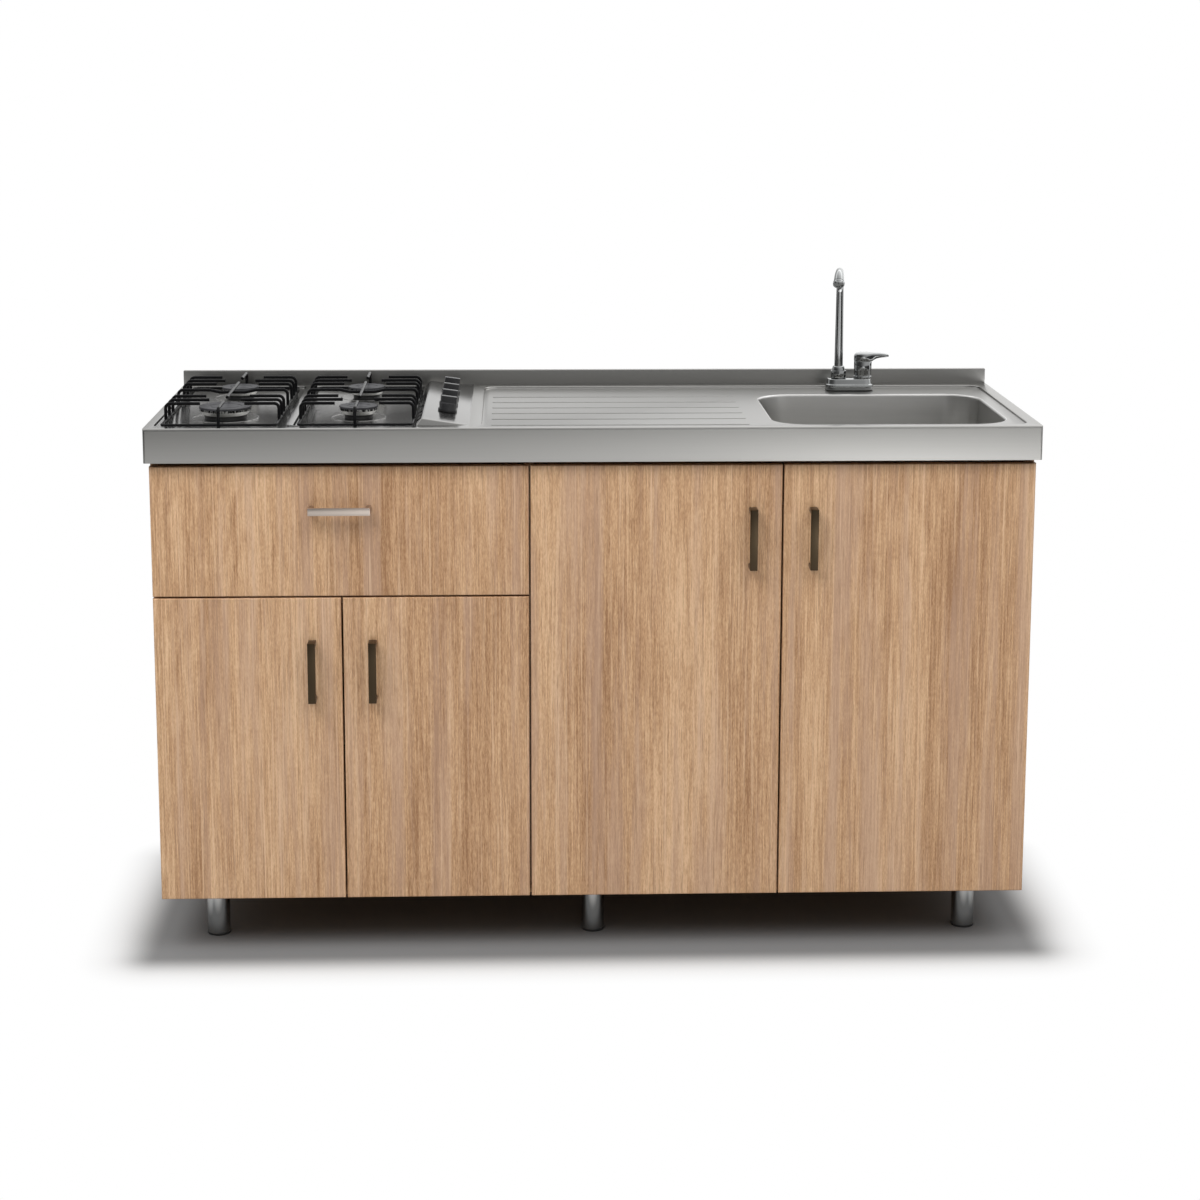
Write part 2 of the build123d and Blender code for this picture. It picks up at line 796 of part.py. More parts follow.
# Grates: bent and welded rods, a base loop with fingers over both burners
def grate(name, centre_x):
    """One grate, over a front and a rear burner."""
    centre_y = at_y(hob_centre)
    half_width = grate_width / 2 - rod_radius
    half_length = grate_length / 2 - rod_radius
    with BuildPart() as frame:
        with BuildLine(Plane.XY.offset(rod_z)) as loop:
            FilletPolyline(
                (centre_x - half_width, centre_y - half_length),
                (centre_x + half_width, centre_y - half_length),
                (centre_x + half_width, centre_y + half_length),
                (centre_x - half_width, centre_y + half_length),
                close=True,
                radius=grate_corner,
            )
        base = loop.wire()
        with BuildSketch(Plane(origin=base @ 0, z_dir=base % 0)) as section:
            Circle(rod_radius)
        sweep(section.sketch, path=base)
        for row in (-burner_offset, burner_offset):
            for step in (-1, 0, 1):
                y = centre_y + row + step * finger_pitch
                tip = finger_gap_outer if step else finger_gap_middle
                for side in (-1, 1):
                    rod(
                        [
                            (centre_x + side * half_width, y, rod_z),
                            (centre_x + side * half_width, y, finger_z),
                            (centre_x + side * tip, y, finger_z),
                        ],
                        finger_radius,
                        finger_bend,
                    )
        rod(
            [
                (centre_x - half_width, centre_y, rod_z),
                (centre_x - half_width, centre_y, finger_z),
                (centre_x - crossbar_dip_start, centre_y, finger_z),
                (centre_x - crossbar_dip_end, centre_y, finger_z - crossbar_dip),
                (centre_x + crossbar_dip_end, centre_y, finger_z - crossbar_dip),
                (centre_x + crossbar_dip_start, centre_y, finger_z),
                (centre_x + half_width, centre_y, finger_z),
                (centre_x + half_width, centre_y, rod_z),
            ],
            finger_radius,
            finger_bend,
        )
        reach = burner_offset - centre_gap
        rod([(centre_x, centre_y - reach, finger_z), (centre_x, centre_y + reach, finger_z)], finger_radius)
        for end in (-1, 1):
            rod(
                [
                    (centre_x, centre_y + end * half_length, rod_z),
                    (centre_x, centre_y + end * half_length, finger_z),
                    (centre_x, centre_y + end * (burner_offset + centre_gap), finger_z),
                ],
                finger_radius,
                finger_bend,
            )
    save(frame, name)


grate("grate_left", at_x(burner_left))
grate("grate_right", at_x(burner_right))

# Knobs: black, with a skirt and a grip bar, pushed onto the valve stems
for count, y in enumerate(knob_places):
    seat = Plane((at_x(knob_x), y, knob_seat_z), z_dir=knob_axis, x_dir=(0, 1, 0)).offset(knob_gap)
    with BuildPart() as knob:
        with BuildSketch(seat):
            Circle(knob_radius + knob_skirt_reach)
        extrude(amount=knob_skirt_height)
        with BuildSketch(seat.offset(knob_skirt_height)):
            Circle(knob_radius)
        extrude(amount=knob_height - knob_skirt_height, taper=knob_taper)
        with BuildSketch(seat.offset(knob_height / 2)):
            for side in (-1, 1):
                with Locations((side * (knob_grip / 2 + knob_radius), 0)):
                    Rectangle(2 * knob_radius, 3 * knob_radius)
        extrude(amount=knob_height, mode=Mode.SUBTRACT)
        with BuildSketch(seat):
            Circle(stem_radius + stem_clearance)
        extrude(amount=knob_bore_depth, mode=Mode.SUBTRACT)
    save(knob, f"knob_{count + 1}")

# Faucet: a plated base on a rubber gasket, with two threaded shanks under the deck
deck_z = floor_z
base_z = deck_z + gasket_thickness
faucet_centre = (at_x(faucet_x), at_y(faucet_y))
base_top = base_z + faucet_base_height
with BuildPart() as faucet_gasket:
    with BuildSketch(Plane.XY.offset(deck_z)):
        with Locations(faucet_centre):
            RectangleRounded(
                faucet_width - 2 * gasket_inset,
                faucet_depth - 2 * gasket_inset,
                faucet_corner - gasket_inset,
            )
        with Locations(*shank_places):
            Circle(shank_radius + shank_clearance, mode=Mode.SUBTRACT)
    extrude(amount=gasket_thickness)
save(faucet_gasket, "faucet_gasket")

with BuildPart() as faucet_base:
    with BuildSketch(Plane.XY.offset(base_z)):
        with Locations(faucet_centre):
            RectangleRounded(faucet_width, faucet_depth, faucet_corner)
    extrude(amount=faucet_base_height / 2)
    with BuildSketch(Plane.XY.offset(base_z + faucet_base_height / 2)):
        with Locations(faucet_centre):
            RectangleRounded(
                faucet_width - 2 * faucet_step,
                faucet_depth - 2 * faucet_step,
                faucet_corner - faucet_step,
            )
    extrude(amount=faucet_base_height / 2, taper=faucet_taper)
    for x, y in shank_places:
        socket_z = base_top - spout_socket_depth
        upright(x, y, socket_z, spout_radius - spout_wall, spout_socket_depth + 1, Mode.SUBTRACT)
save(faucet_base, "faucet_base")

with BuildPart() as faucet_shanks:
    for x, y in shank_places:
        upright(x, y, base_z - shank_length, shank_radius, shank_length)
        with BuildSketch(Plane.XY.offset(carcass_top - shank_nut_height)):
            with Locations((x, y)):
                RegularPolygon(shank_nut_radius, 6)
        extrude(amount=shank_nut_height)
        upright(x, y, base_z - shank_length - 1, shank_bore, shank_length, Mode.SUBTRACT)
save(faucet_shanks, "faucet_shanks")

# Spout: a gooseneck tube that swivels in its nut
spout_base = base_top + faucet_gap
spout_axis = Vector(at_x(spout_x), at_y(faucet_y), 0)
swing = radians(spout_swing)
spout_plane = Plane(
    origin=spout_axis,
    x_dir=(-sin(swing), -cos(swing), 0),
    z_dir=(-cos(swing), sin(swing), 0),
)
straight_top = top_z + spout_top - spout_tip_radius - spout_bend
arc_end = (
    spout_bend - spout_bend * cos(radians(spout_bend_angle)),
    straight_top + spout_bend * sin(radians(spout_bend_angle)),
)
end_heading = (sin(radians(spout_bend_angle)), cos(radians(spout_bend_angle)))
tail_end = (arc_end[0] + spout_tail * end_heading[0], arc_end[1] + spout_tail * end_heading[1])
with BuildPart() as spout:
    with BuildLine(spout_plane) as spout_path:
        Line((0, spout_base), (0, straight_top))
        CenterArc((spout_bend, straight_top), spout_bend, 180, -spout_bend_angle)
        Line(arc_end, tail_end)
    with BuildSketch(Plane.XY.offset(spout_base)) as tube_section:
        with Locations((spout_axis.X, spout_axis.Y)):
            Circle(spout_radius)
            Circle(spout_radius - spout_wall, mode=Mode.SUBTRACT)
    sweep(tube_section.sketch, path=spout_path.wire())
    with BuildSketch(Plane.XY.offset(spout_base)):
        with Locations((spout_axis.X, spout_axis.Y)):
            Circle(spout_nut_radius)
            Circle(spout_radius - spout_wall / 3, mode=Mode.SUBTRACT)
    extrude(amount=spout_nut_height)
save(spout, "spout")

# Aerator: a ring on the spout's end
outlet = spout_plane.from_local_coords(Vector(tail_end[0], tail_end[1], 0))
outlet_before = spout_plane.from_local_coords(Vector(arc_end[0], arc_end[1], 0))
outlet_plane = Plane(origin=outlet, z_dir=outlet - outlet_before)
with BuildPart() as aerator:
    with BuildSketch(outlet_plane):
        Circle(aerator_radius)
        Circle(spout_radius - spout_wall, mode=Mode.SUBTRACT)
    extrude(amount=aerator_length, taper=aerator_taper)
save(aerator, "aerator")

# Mixer body: the round body beside the spout, which turns with the lever and is domed under it
mixer_axis = (at_x(mixer_x), at_y(faucet_y))
mixer_base = base_top + faucet_gap
mixer_top = mixer_base + mixer_height
with BuildPart() as mixer_body:
    upright(*mixer_axis, mixer_base, mixer_radius, mixer_height)
    fillet(mixer_body.faces().sort_by(Axis.Z)[0].edges(), mixer_edge)
    with Locations((*mixer_axis, mixer_top)):
        Sphere(mixer_dome)
save(mixer_body, "mixer_body")

# Lever: a domed cap that tips at its rear lower edge, with a beak that points away from the spout
lever_base = mixer_top + faucet_gap
wall_top = lever_base + lever_wall_height
with BuildPart() as lever:
    upright(*mixer_axis, lever_base, mixer_radius, lever_wall_height)
    with BuildSketch(Plane.XY.offset(wall_top)):
        with Locations(mixer_axis):
            Circle(mixer_radius)
    with BuildSketch(Plane.XY.offset(lever_base + lever_rise)):
        with Locations(mixer_axis):
            Circle(mixer_radius * lever_crown_share)
    loft()
    with BuildSketch(Plane.YZ.offset(mixer_axis[0])):
        with Locations((mixer_axis[1], wall_top + lever_root_lift)):
            RectangleRounded(lever_root, lever_root_height, lever_root_corner)
    with BuildSketch(Plane.YZ.offset(mixer_axis[0] + lever_reach)):
        with Locations((mixer_axis[1], wall_top + lever_tip_lift)):
            RectangleRounded(lever_tip, lever_tip_height, lever_tip_corner)
    loft()
    with Locations((*mixer_axis, mixer_top)):
        Sphere(lever_pocket, mode=Mode.SUBTRACT)
save(lever, "lever")

# Strainer: a flange in the bowl's waste hole, a nut under it and a lift-out basket
waste_seat = bowl_floor_z + sheet
cup_floor_z = waste_seat - strainer_depth
thread_end_z = cup_floor_z - strainer_thread_length
waste_x = bowl_centre[0]
cup_mouth_x = waste_x + waste_radius - strainer_hole_clearance
cup_floor_x = waste_x + waste_radius - strainer_draw_in
thread_x = waste_x + strainer_thread_radius
with BuildPart() as strainer_flange:
    with BuildSketch(Plane.XZ.offset(-bowl_centre[1])):
        with BuildLine():
            Polyline(
                (cup_mouth_x, waste_seat),
                (waste_x + strainer_flange_radius, waste_seat),
                (waste_x + strainer_flange_radius, waste_seat + strainer_wall),
                (cup_mouth_x - strainer_wall, waste_seat + strainer_wall),
                (cup_floor_x, cup_floor_z + strainer_wall),
                (thread_x - strainer_thread_wall, cup_floor_z + strainer_wall),
                (thread_x - strainer_thread_wall, thread_end_z),
                (thread_x, thread_end_z),
                (thread_x, cup_floor_z),
                (cup_floor_x + strainer_wall, cup_floor_z),
                close=True,
            )
        make_face()
    revolve(axis=Axis((*bowl_centre, 0), (0, 0, 1)))
save(strainer_flange, "strainer_flange")

with BuildPart() as strainer_nut:
    with BuildSketch(Plane.XY.offset(bowl_floor_z - strainer_nut_height)):
        with Locations(bowl_centre):
            Circle(strainer_flange_radius - strainer_nut_inset)
            Circle(waste_radius - strainer_nut_overlap, mode=Mode.SUBTRACT)
    extrude(amount=strainer_nut_height)
save(strainer_nut, "strainer_nut")

basket_seat = waste_seat + strainer_wall + basket_clearance
basket_floor_z = cup_floor_z + basket_floor_height
with BuildPart() as strainer_basket:
    with BuildSketch(Plane.XZ.offset(-bowl_centre[1])):
        with BuildLine():
            Polyline(
                (waste_x, basket_floor_z),
                (waste_x + basket_floor_radius, basket_floor_z),
                (waste_x + basket_mouth_radius, basket_seat),
                (waste_x + basket_rim_radius, basket_seat),
                (waste_x + basket_rim_radius, basket_seat + basket_wall),
                (waste_x + basket_mouth_radius - basket_wall, basket_seat + basket_wall),
                (waste_x + basket_floor_radius - basket_wall, basket_floor_z + basket_wall),
                (waste_x + basket_stem_radius, basket_floor_z + basket_wall),
                (waste_x + basket_stem_radius, basket_seat - basket_knob_height),
                (waste_x + basket_knob_radius, basket_seat),
                (waste_x + basket_knob_radius, basket_seat + basket_knob_height),
                (waste_x, basket_seat + basket_knob_height),
                close=True,
            )
        make_face()
    revolve(axis=Axis((*bowl_centre, 0), (0, 0, 1)))
    with Locations((*bowl_centre, basket_floor_z)):
        for ring_radius, holes in basket_rings:
            with PolarLocations(ring_radius, holes):
                Cylinder(basket_hole_radius, 4 * basket_wall, mode=Mode.SUBTRACT)
save(strainer_basket, "strainer_basket")

# Waste trap: a bottle trap with its outlet through the service opening to the wall
trap_bottom = thread_end_z - trap_drop
outlet_z = trap_bottom + trap_outlet_level
outlet_length = at_y(trap_outlet_end) - bowl_centre[1]
pipe_start_y = bowl_centre[1] + strainer_thread_radius
dip_bore = strainer_thread_radius - trap_wall
with BuildPart() as waste_trap:
    upright(*bowl_centre, thread_end_z - trap_inlet_length, strainer_thread_radius, trap_inlet_length)
    upright(*bowl_centre, trap_bottom, trap_body_radius, trap_body_height)
    upright(
        *bowl_centre,
        trap_bottom + trap_ring_level,
        trap_body_radius + trap_ring_reach,
        trap_ring_height,
    )
    peg((*bowl_centre, outlet_z), (0, 1, 0), trap_radius, outlet_length)
    peg((*bowl_centre, outlet_z), (0, 1, 0), trap_radius + trap_nut_reach, trap_body_radius + trap_nut_length)
    upright(
        *bowl_centre,
        trap_bottom + trap_wall,
        trap_body_radius - trap_wall,
        trap_ring_level,
        Mode.SUBTRACT,
    )
    upright(*bowl_centre, trap_bottom + trap_dip_level, strainer_thread_radius, trap_drop - trap_dip_level)
    upright(*bowl_centre, trap_bottom + trap_floor_gap, dip_bore, trap_drop, Mode.SUBTRACT)
    peg(
        (waste_x, pipe_start_y, outlet_z),
        (0, 1, 0),
        trap_radius - trap_wall,
        outlet_length,
        Mode.SUBTRACT,
    )
save(waste_trap, "waste_trap")


# Handles: flat bars on two legs, all alike
def handle(name, centre, along):
    """A bar handle on a front; the centre lies on the front's face, and along is its length's heading."""
    outward = Vector(0, -1, 0)
    plane = Plane(origin=centre, x_dir=along, z_dir=Vector(*along).cross(outward))
    half = handle_length / 2
    with BuildPart() as bar:
        with BuildSketch(plane):
            with BuildLine():
                Polyline(
                    (-half, 0),
                    (-half, handle_reach),
                    (half, handle_reach),
                    (half, 0),
                    (half - handle_post, 0),
                    (half - handle_post, handle_reach - handle_bar),
                    (-half + handle_post, handle_reach - handle_bar),
                    (-half + handle_post, 0),
                    close=True,
                )
            make_face()
        extrude(amount=handle_width / 2, both=True)
        tips = bar.faces().sort_by(Axis.Y)[0].edges()
        fillet(tips, handle_radius)
    save(bar, name)


# Doors: boards with a cup bored near each end of the hinged edge
cup_centre_edge = cup_edge_distance + cup_radius
pin_y = door_back_y - hinge_pin_depth


def front_board(low_x, high_x, low_z, high_z):
    """A front with softened edges, to be drilled by its caller."""
    with BuildPart() as plain:
        block((low_x, door_front_y, low_z), (high_x, door_back_y, high_z))
        fillet(plain.faces().sort_by(Axis.Y)[0].edges(), door_front_radius)
        fillet(plain.faces().sort_by(Axis.Y)[-1].edges(), door_back_radius)
    return plain.part


def hinge_levels(low_z, high_z):
    """Heights of a door's two hinges."""
    return (low_z + hinge_end_distance, high_z - hinge_end_distance)


def door(name, low_x, high_x, low_z, high_z, hinge_side, handle_name):
    """A door, its hinge cups and its handle; hinge_side is -1 for the left edge and 1 for the right."""
    edge = low_x if hinge_side < 0 else high_x
    free = high_x if hinge_side < 0 else low_x
    cup_x = edge - hinge_side * cup_centre_edge
    pin_x = edge - hinge_side * hinge_pin_edge
    blank = front_board(low_x, high_x, low_z, high_z)
    with BuildPart() as panel:
        add(blank)
        for z in hinge_levels(low_z, high_z):
            peg((cup_x, door_back_y, z), (0, -1, 0), cup_radius + cup_clearance, cup_depth, Mode.SUBTRACT)
    save(panel, name)
    inside_radius = cup_radius - cup_wall
    with BuildPart() as cups:
        for z in hinge_levels(low_z, high_z):
            peg((cup_x, door_back_y, z), (0, -1, 0), cup_radius, cup_depth)
            peg((cup_x, door_back_y, z), (0, -1, 0), inside_radius, cup_depth - cup_wall, Mode.SUBTRACT)
            for side in (-1, 1):
                near, far = sorted((side * inside_radius, side * (cup_radius + cup_ear_reach)))
                block(
                    (cup_x - cup_ear_width / 2, door_back_y, z + near),
                    (cup_x + cup_ear_width / 2, door_back_y + cup_flange, z + far),
                )
            upright(pin_x, pin_y, z - hinge_pin_reach, hinge_pin_radius, 2 * hinge_pin_reach)
    save(cups, name.replace("door", "hinge_cups"))
    handle_x = free + hinge_side * handle_edge_distance
    handle_z = high_z - handle_top_distance - handle_length / 2
    handle(handle_name, (handle_x, door_front_y, handle_z), (0, 0, 1))


small_top = drawer_front_bottom - front_gap
small_split = (-side_x + partition_x) / 2
tall_split = (side_x + partition_x) / 2
half_gap = front_gap / 2
small_left = (-side_x, small_split - half_gap, carcass_bottom, small_top)
small_right = (small_split + half_gap, partition_x - half_gap, carcass_bottom, small_top)
tall_left = (partition_x + half_gap, tall_split - half_gap, carcass_bottom, fronts_top)
tall_right = (tall_split + half_gap, side_x, carcass_bottom, fronts_top)
doors = (
    ("door_small_left", small_left, -1, -inner_x),
    ("door_small_right", small_right, 1, partition_left),
    ("door_tall_left", tall_left, -1, partition_right),
    ("door_tall_right", tall_right, 1, inner_x),
)
for name, size, hinge_side, wall_x in doors:
    door(name, *size, hinge_side, name.replace("door", "handle"))

# Hinge arms: steel strips screwed to the panels, each bent round to its pin in the cup
with BuildPart() as hinge_arms:
    for name, size, hinge_side, wall_x in doors:
        edge = size[0] if hinge_side < 0 else size[1]
        into = -hinge_side
        pin_x = edge + into * hinge_pin_edge
        bend_x = edge + into * arm_height
        for z in hinge_levels(size[2], size[3]):
            outline = [
                (pin_x, pin_y),
                (pin_x + into * arm_knee_out, pin_y + arm_knee_back),
                (bend_x, carcass_y + arm_bend_back),
                (bend_x, carcass_y + arm_end),
            ]
            with BuildSketch(Plane.XY.offset(z - hinge_width / 2)):
                with BuildLine():
                    Polyline(*outline)
                trace(line_width=arm_thickness)
                with Locations((pin_x, pin_y)):
                    Circle(hinge_eye_radius)
                    Circle(hinge_pin_radius + hinge_clearance, mode=Mode.SUBTRACT)
            extrude(amount=hinge_width)
            near, far = sorted((wall_x, bend_x + into * arm_thickness / 2))
            block(
                (near, carcass_y + arm_foot_start, z - arm_foot_width / 2),
                (far, carcass_y + arm_end + arm_foot_overrun, z + arm_foot_width / 2),
            )
save(hinge_arms, "hinge_arms")

# Drawer: a front, two grooved sides, a back and a thin bottom, on ball runners
drawer_left = -inner_x + runner_thickness + runner_play
drawer_right = partition_left - runner_thickness - runner_play
box_low = drawer_front_bottom + drawer_side_low
box_high = box_low + drawer_side_height
box_back = door_back_y + drawer_length
groove_z = box_low + drawer_groove_height
front_panel = front_board(-side_x, partition_x - half_gap, drawer_front_bottom, fronts_top)
with BuildPart() as drawer_front:
    add(front_panel)
save(drawer_front, "drawer_front")
handle(
    "handle_drawer",
    ((-side_x + partition_x - half_gap) / 2, door_front_y, fronts_top - handle_top_distance),
    (1, 0, 0),
)

with BuildPart() as drawer_box:
    for low_x, inward in ((drawer_left, 1), (drawer_right - board, -1)):
        block((low_x, door_back_y, box_low), (low_x + board, box_back, box_high))
        groove_face = low_x + board if inward > 0 else low_x
        near, far = sorted((groove_face, groove_face - inward * drawer_groove))
        block(
            (near, door_back_y, groove_z - groove_gap),
            (far, box_back, groove_z + drawer_bottom_thickness + groove_gap),
            mode=Mode.SUBTRACT,
        )
    block(
        (drawer_left + board, box_back - board, groove_z + drawer_bottom_thickness + groove_gap),
        (drawer_right - board, box_back, box_high - drawer_back_drop),
    )
save(drawer_box, "drawer_box")

with BuildPart() as drawer_bottom:
    block(
        (drawer_left + board - drawer_groove + groove_gap, door_back_y, groove_z),
        (drawer_right - board + drawer_groove - groove_gap, box_back, groove_z + drawer_bottom_thickness),
    )
save(drawer_bottom, "drawer_bottom")

# Runners: three nested channels on each side, fixed, middle and drawer members
runner_z = (box_low + box_high) / 2
runner_y = carcass_y + runner_setback
runner_walls = ((-inner_x, 1), (partition_left, -1))


def channel(back, depth, half_height, wall_x, inward, toward_wall):
    """A lipped channel; back and depth are measured from the panel that carries the runner."""
    low, high = sorted((wall_x + inward * back, wall_x + inward * (back + runner_steel)))
    block((low, runner_y, runner_z - half_height), (high, runner_y + runner_length, runner_z + half_height))
    if toward_wall:
        lip_low, lip_high = back + runner_steel - depth, back + runner_steel
    else:
        lip_low, lip_high = back, back + depth
    low, high = sorted((wall_x + inward * lip_low, wall_x + inward * lip_high))
    for side in (-1, 1):
        lip = sorted((runner_z + side * half_height, runner_z + side * (half_height - runner_steel)))
        block((low, runner_y, lip[0]), (high, runner_y + runner_length, lip[1]))


half_fixed = runner_height / 2
half_middle = half_fixed - runner_steel - runner_gap
half_drawer = half_middle - runner_steel - runner_gap
with BuildPart() as runners_cabinet:
    for wall_x, inward in runner_walls:
        channel(0, runner_fixed_lip, half_fixed, wall_x, inward, False)
save(runners_cabinet, "runners_cabinet")

with BuildPart() as runners_middle:
    for wall_x, inward in runner_walls:
        channel(runner_middle_back, runner_middle_lip, half_middle, wall_x, inward, False)
save(runners_middle, "runners_middle")

drawer_member_back = runner_thickness + runner_play - runner_steel
with BuildPart() as runners_drawer:
    for wall_x, inward in runner_walls:
        channel(drawer_member_back, runner_drawer_lip, half_drawer, wall_x, inward, True)
save(runners_drawer, "runners_drawer")
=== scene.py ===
import math

import bmesh
import bpy
from mathutils import Matrix, Vector


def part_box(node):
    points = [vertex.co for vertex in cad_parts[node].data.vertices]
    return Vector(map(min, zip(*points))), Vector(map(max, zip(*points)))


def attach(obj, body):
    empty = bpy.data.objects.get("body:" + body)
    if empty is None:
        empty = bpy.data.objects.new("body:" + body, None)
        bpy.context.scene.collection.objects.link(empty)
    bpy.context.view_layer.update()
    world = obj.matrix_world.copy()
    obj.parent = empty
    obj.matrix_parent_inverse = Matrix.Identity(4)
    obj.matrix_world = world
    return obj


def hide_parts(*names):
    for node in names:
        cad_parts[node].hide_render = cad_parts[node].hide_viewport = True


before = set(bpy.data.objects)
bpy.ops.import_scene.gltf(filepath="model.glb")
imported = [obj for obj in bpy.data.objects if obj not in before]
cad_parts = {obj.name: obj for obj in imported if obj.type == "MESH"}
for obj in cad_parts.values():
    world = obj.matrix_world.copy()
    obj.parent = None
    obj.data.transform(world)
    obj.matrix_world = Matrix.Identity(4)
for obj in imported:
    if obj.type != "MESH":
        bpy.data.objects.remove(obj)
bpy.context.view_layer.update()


# Studio: a white floor in a white room, two large soft lamps overhead in front, and a camera a little
# left of the middle, about 0.64 m above the worktop. The lamps are hidden from reflections; floor and
# room are bright and dark there in stretches of their own, as a studio's cards and windows make them.
scene = bpy.context.scene
scene.view_settings.view_transform = "Standard"

eye = Vector((-0.1323, -4.1842, 1.5563))
pitch, yaw, roll = 0.1723, 0.0355, 0.0020
ahead = Vector((math.sin(yaw) * math.cos(pitch), math.cos(yaw) * math.cos(pitch), -math.sin(pitch)))
level = Vector((math.cos(yaw), -math.sin(yaw), 0))
upward = level.cross(ahead)
across = level * math.cos(roll) + upward * math.sin(roll)
upright = upward * math.cos(roll) - level * math.sin(roll)
bpy.ops.object.camera_add()
camera = bpy.context.object
camera.matrix_world = Matrix.Translation(eye) @ Matrix((across, upright, -ahead)).transposed().to_4x4()
camera.data.sensor_width = 36
camera.data.lens = 71.8935
camera.data.shift_y = -0.12
camera.data.clip_end = 200
scene.camera = camera


class Value:
    """One output of a shader node; arithmetic on it adds Math nodes."""

    def __init__(self, finish, socket):
        self.finish = finish
        self.socket = socket

    def __add__(self, other):
        return self.finish.math("ADD", self, other)

    __radd__ = __add__

    def __sub__(self, other):
        return self.finish.math("SUBTRACT", self, other)

    def __rsub__(self, other):
        return self.finish.math("SUBTRACT", other, self)

    def __mul__(self, other):
        return self.finish.math("MULTIPLY", self, other)

    __rmul__ = __mul__

    def __pow__(self, other):
        return self.finish.math("POWER", self, other)


class Finish:
    """A material or a world being mixed, node by node."""

    def __init__(self, owner):
        owner.use_nodes = True
        self.owner = owner
        self.tree = owner.node_tree
        self.tree.nodes.clear()

    def node(self, kind, settings, sockets, output=0):
        """Add a node: its settings first, then its sockets' values or links; gives one output."""
        made = self.tree.nodes.new("ShaderNode" + kind)
        for name, setting in settings.items():
            if name == "stops":
                ramp = made.color_ramp
                ramp.elements.remove(ramp.elements[1])
                ramp.elements[0].position, ramp.elements[0].color = setting[0][0], (*setting[0][1], 1)
                for position, colour in setting[1:]:
                    ramp.elements.new(position).color = (*colour, 1)
            else:
                setattr(made, name, setting)
        for name, given in sockets.items():
            socket = made.inputs[name]
            if isinstance(given, Value):
                self.tree.links.new(given.socket, socket)
            elif socket.type == "RGBA":
                socket.default_value = (*given, 1)
            else:
                socket.default_value = given
        return Value(self, made.outputs[output])

    def math(self, operation, first, second):
        """One Math node."""
        return self.node("Math", {"operation": operation}, {0: first, 1: second})

    def largest(self, first, *others):
        """The largest of several numbers."""
        for other in others:
            first = self.math("MAXIMUM", first, other)
        return first

    def along(self, spot, axis):
        """One coordinate of a place or a direction."""
        return self.node("SeparateXYZ", {}, {0: spot}, axis)

    def place(self, scale=(1, 1, 1), shift=(0, 0, 0)):
        """Object coordinates, stretched and shifted for a pattern."""
        spot = self.node("TexCoord", {}, {}, "Object")
        return self.node("Mapping", {}, {0: spot, 1: shift, 3: scale})

    def noise(self, scale, shift=(0, 0, 0), detail=2.0, rough=0.5):
        """A noise field whose grain is set by the scale along each axis, in cells to the metre."""
        return self.node("TexNoise", {}, {0: self.place(scale, shift), 2: 1.0, 3: detail, 4: rough})

    def between(self, amount, low, high):
        """A number that goes from low to high as the amount goes from 0 to 1."""
        return amount * (high - low) + low

    def step(self, amount, start, end):
        """0 below start, 1 above end, and a soft rise between them."""
        return self.node("MapRange", {"interpolation_type": "SMOOTHSTEP"}, {0: amount, 1: start, 2: end})

    def blend(self, amount, low, high):
        """A colour that goes from low to high as the amount goes from 0 to 1."""
        return self.node("Mix", {"data_type": "RGBA"}, {0: amount, 6: low, 7: high}, 2)

    def bump(self, height, distance, strength):
        """A relief of that many metres for a height of 1."""
        return self.node("Bump", {}, {"Height": height, "Distance": distance, "Strength": strength})

    def ray(self, kind):
        """1 where the light path is of that kind."""
        return self.node("LightPath", {}, {}, f"Is {kind} Ray")

    def glow(self, strength):
        """White light of its own."""
        return self.node("Emission", {}, {0: (1, 1, 1), 1: strength})

    def fade(self, amount, first, second):
        """A shader that goes from the first to the second as the amount goes from 0 to 1."""
        return self.node("MixShader", {}, {0: amount, 1: first, 2: second})

    def cover(self, sockets):
        """Close the material with its surface shader."""
        self.end("OutputMaterial", self.node("BsdfPrincipled", {}, sockets))
        return self.owner

    def end(self, kind, surface):
        """Join the last shader to the output."""
        made = self.tree.nodes.new("ShaderNode" + kind)
        self.tree.links.new(surface.socket, made.inputs[0])


bpy.ops.object.select_all(action="DESELECT")
bpy.ops.mesh.primitive_plane_add(size=60)
floor = bpy.context.object
floor.name = "studio_floor"
paint = Finish(bpy.data.materials.new("studio_floor"))
floor.data.materials.append(paint.owner)
half_length, half_depth = 0.75, 0.25
spot = paint.node("TexCoord", {}, {}, "Object")
aside, deep = paint.along(spot, 0), paint.along(spot, 1)
beyond_x = paint.largest(paint.math("ABSOLUTE", aside, 0) - half_length, 0)
beyond_y = paint.largest(paint.math("ABSOLUTE", deep, 0) - half_depth, 0)
apart = (beyond_x ** 2 + beyond_y ** 2) ** 0.5

# Beneath the cabinet and a little round it the floor is painted darker: a painted shadow under the cabinet,
# added to the shade that the lamps leave there.
painted_shadow_under = paint.node("BsdfDiffuse", {}, {0: (0.22, 0.22, 0.22)})
matt_open = paint.node("BsdfDiffuse", {}, {0: (0.62, 0.62, 0.62)})
matt = paint.fade(paint.step(apart, 0.0, 0.1), painted_shadow_under, matt_open)
seen = paint.largest(paint.ray("Camera"), paint.ray("Transmission"))
shown = paint.fade(paint.step(apart, 0.0, 0.15) * seen, matt, paint.glow(1.0))

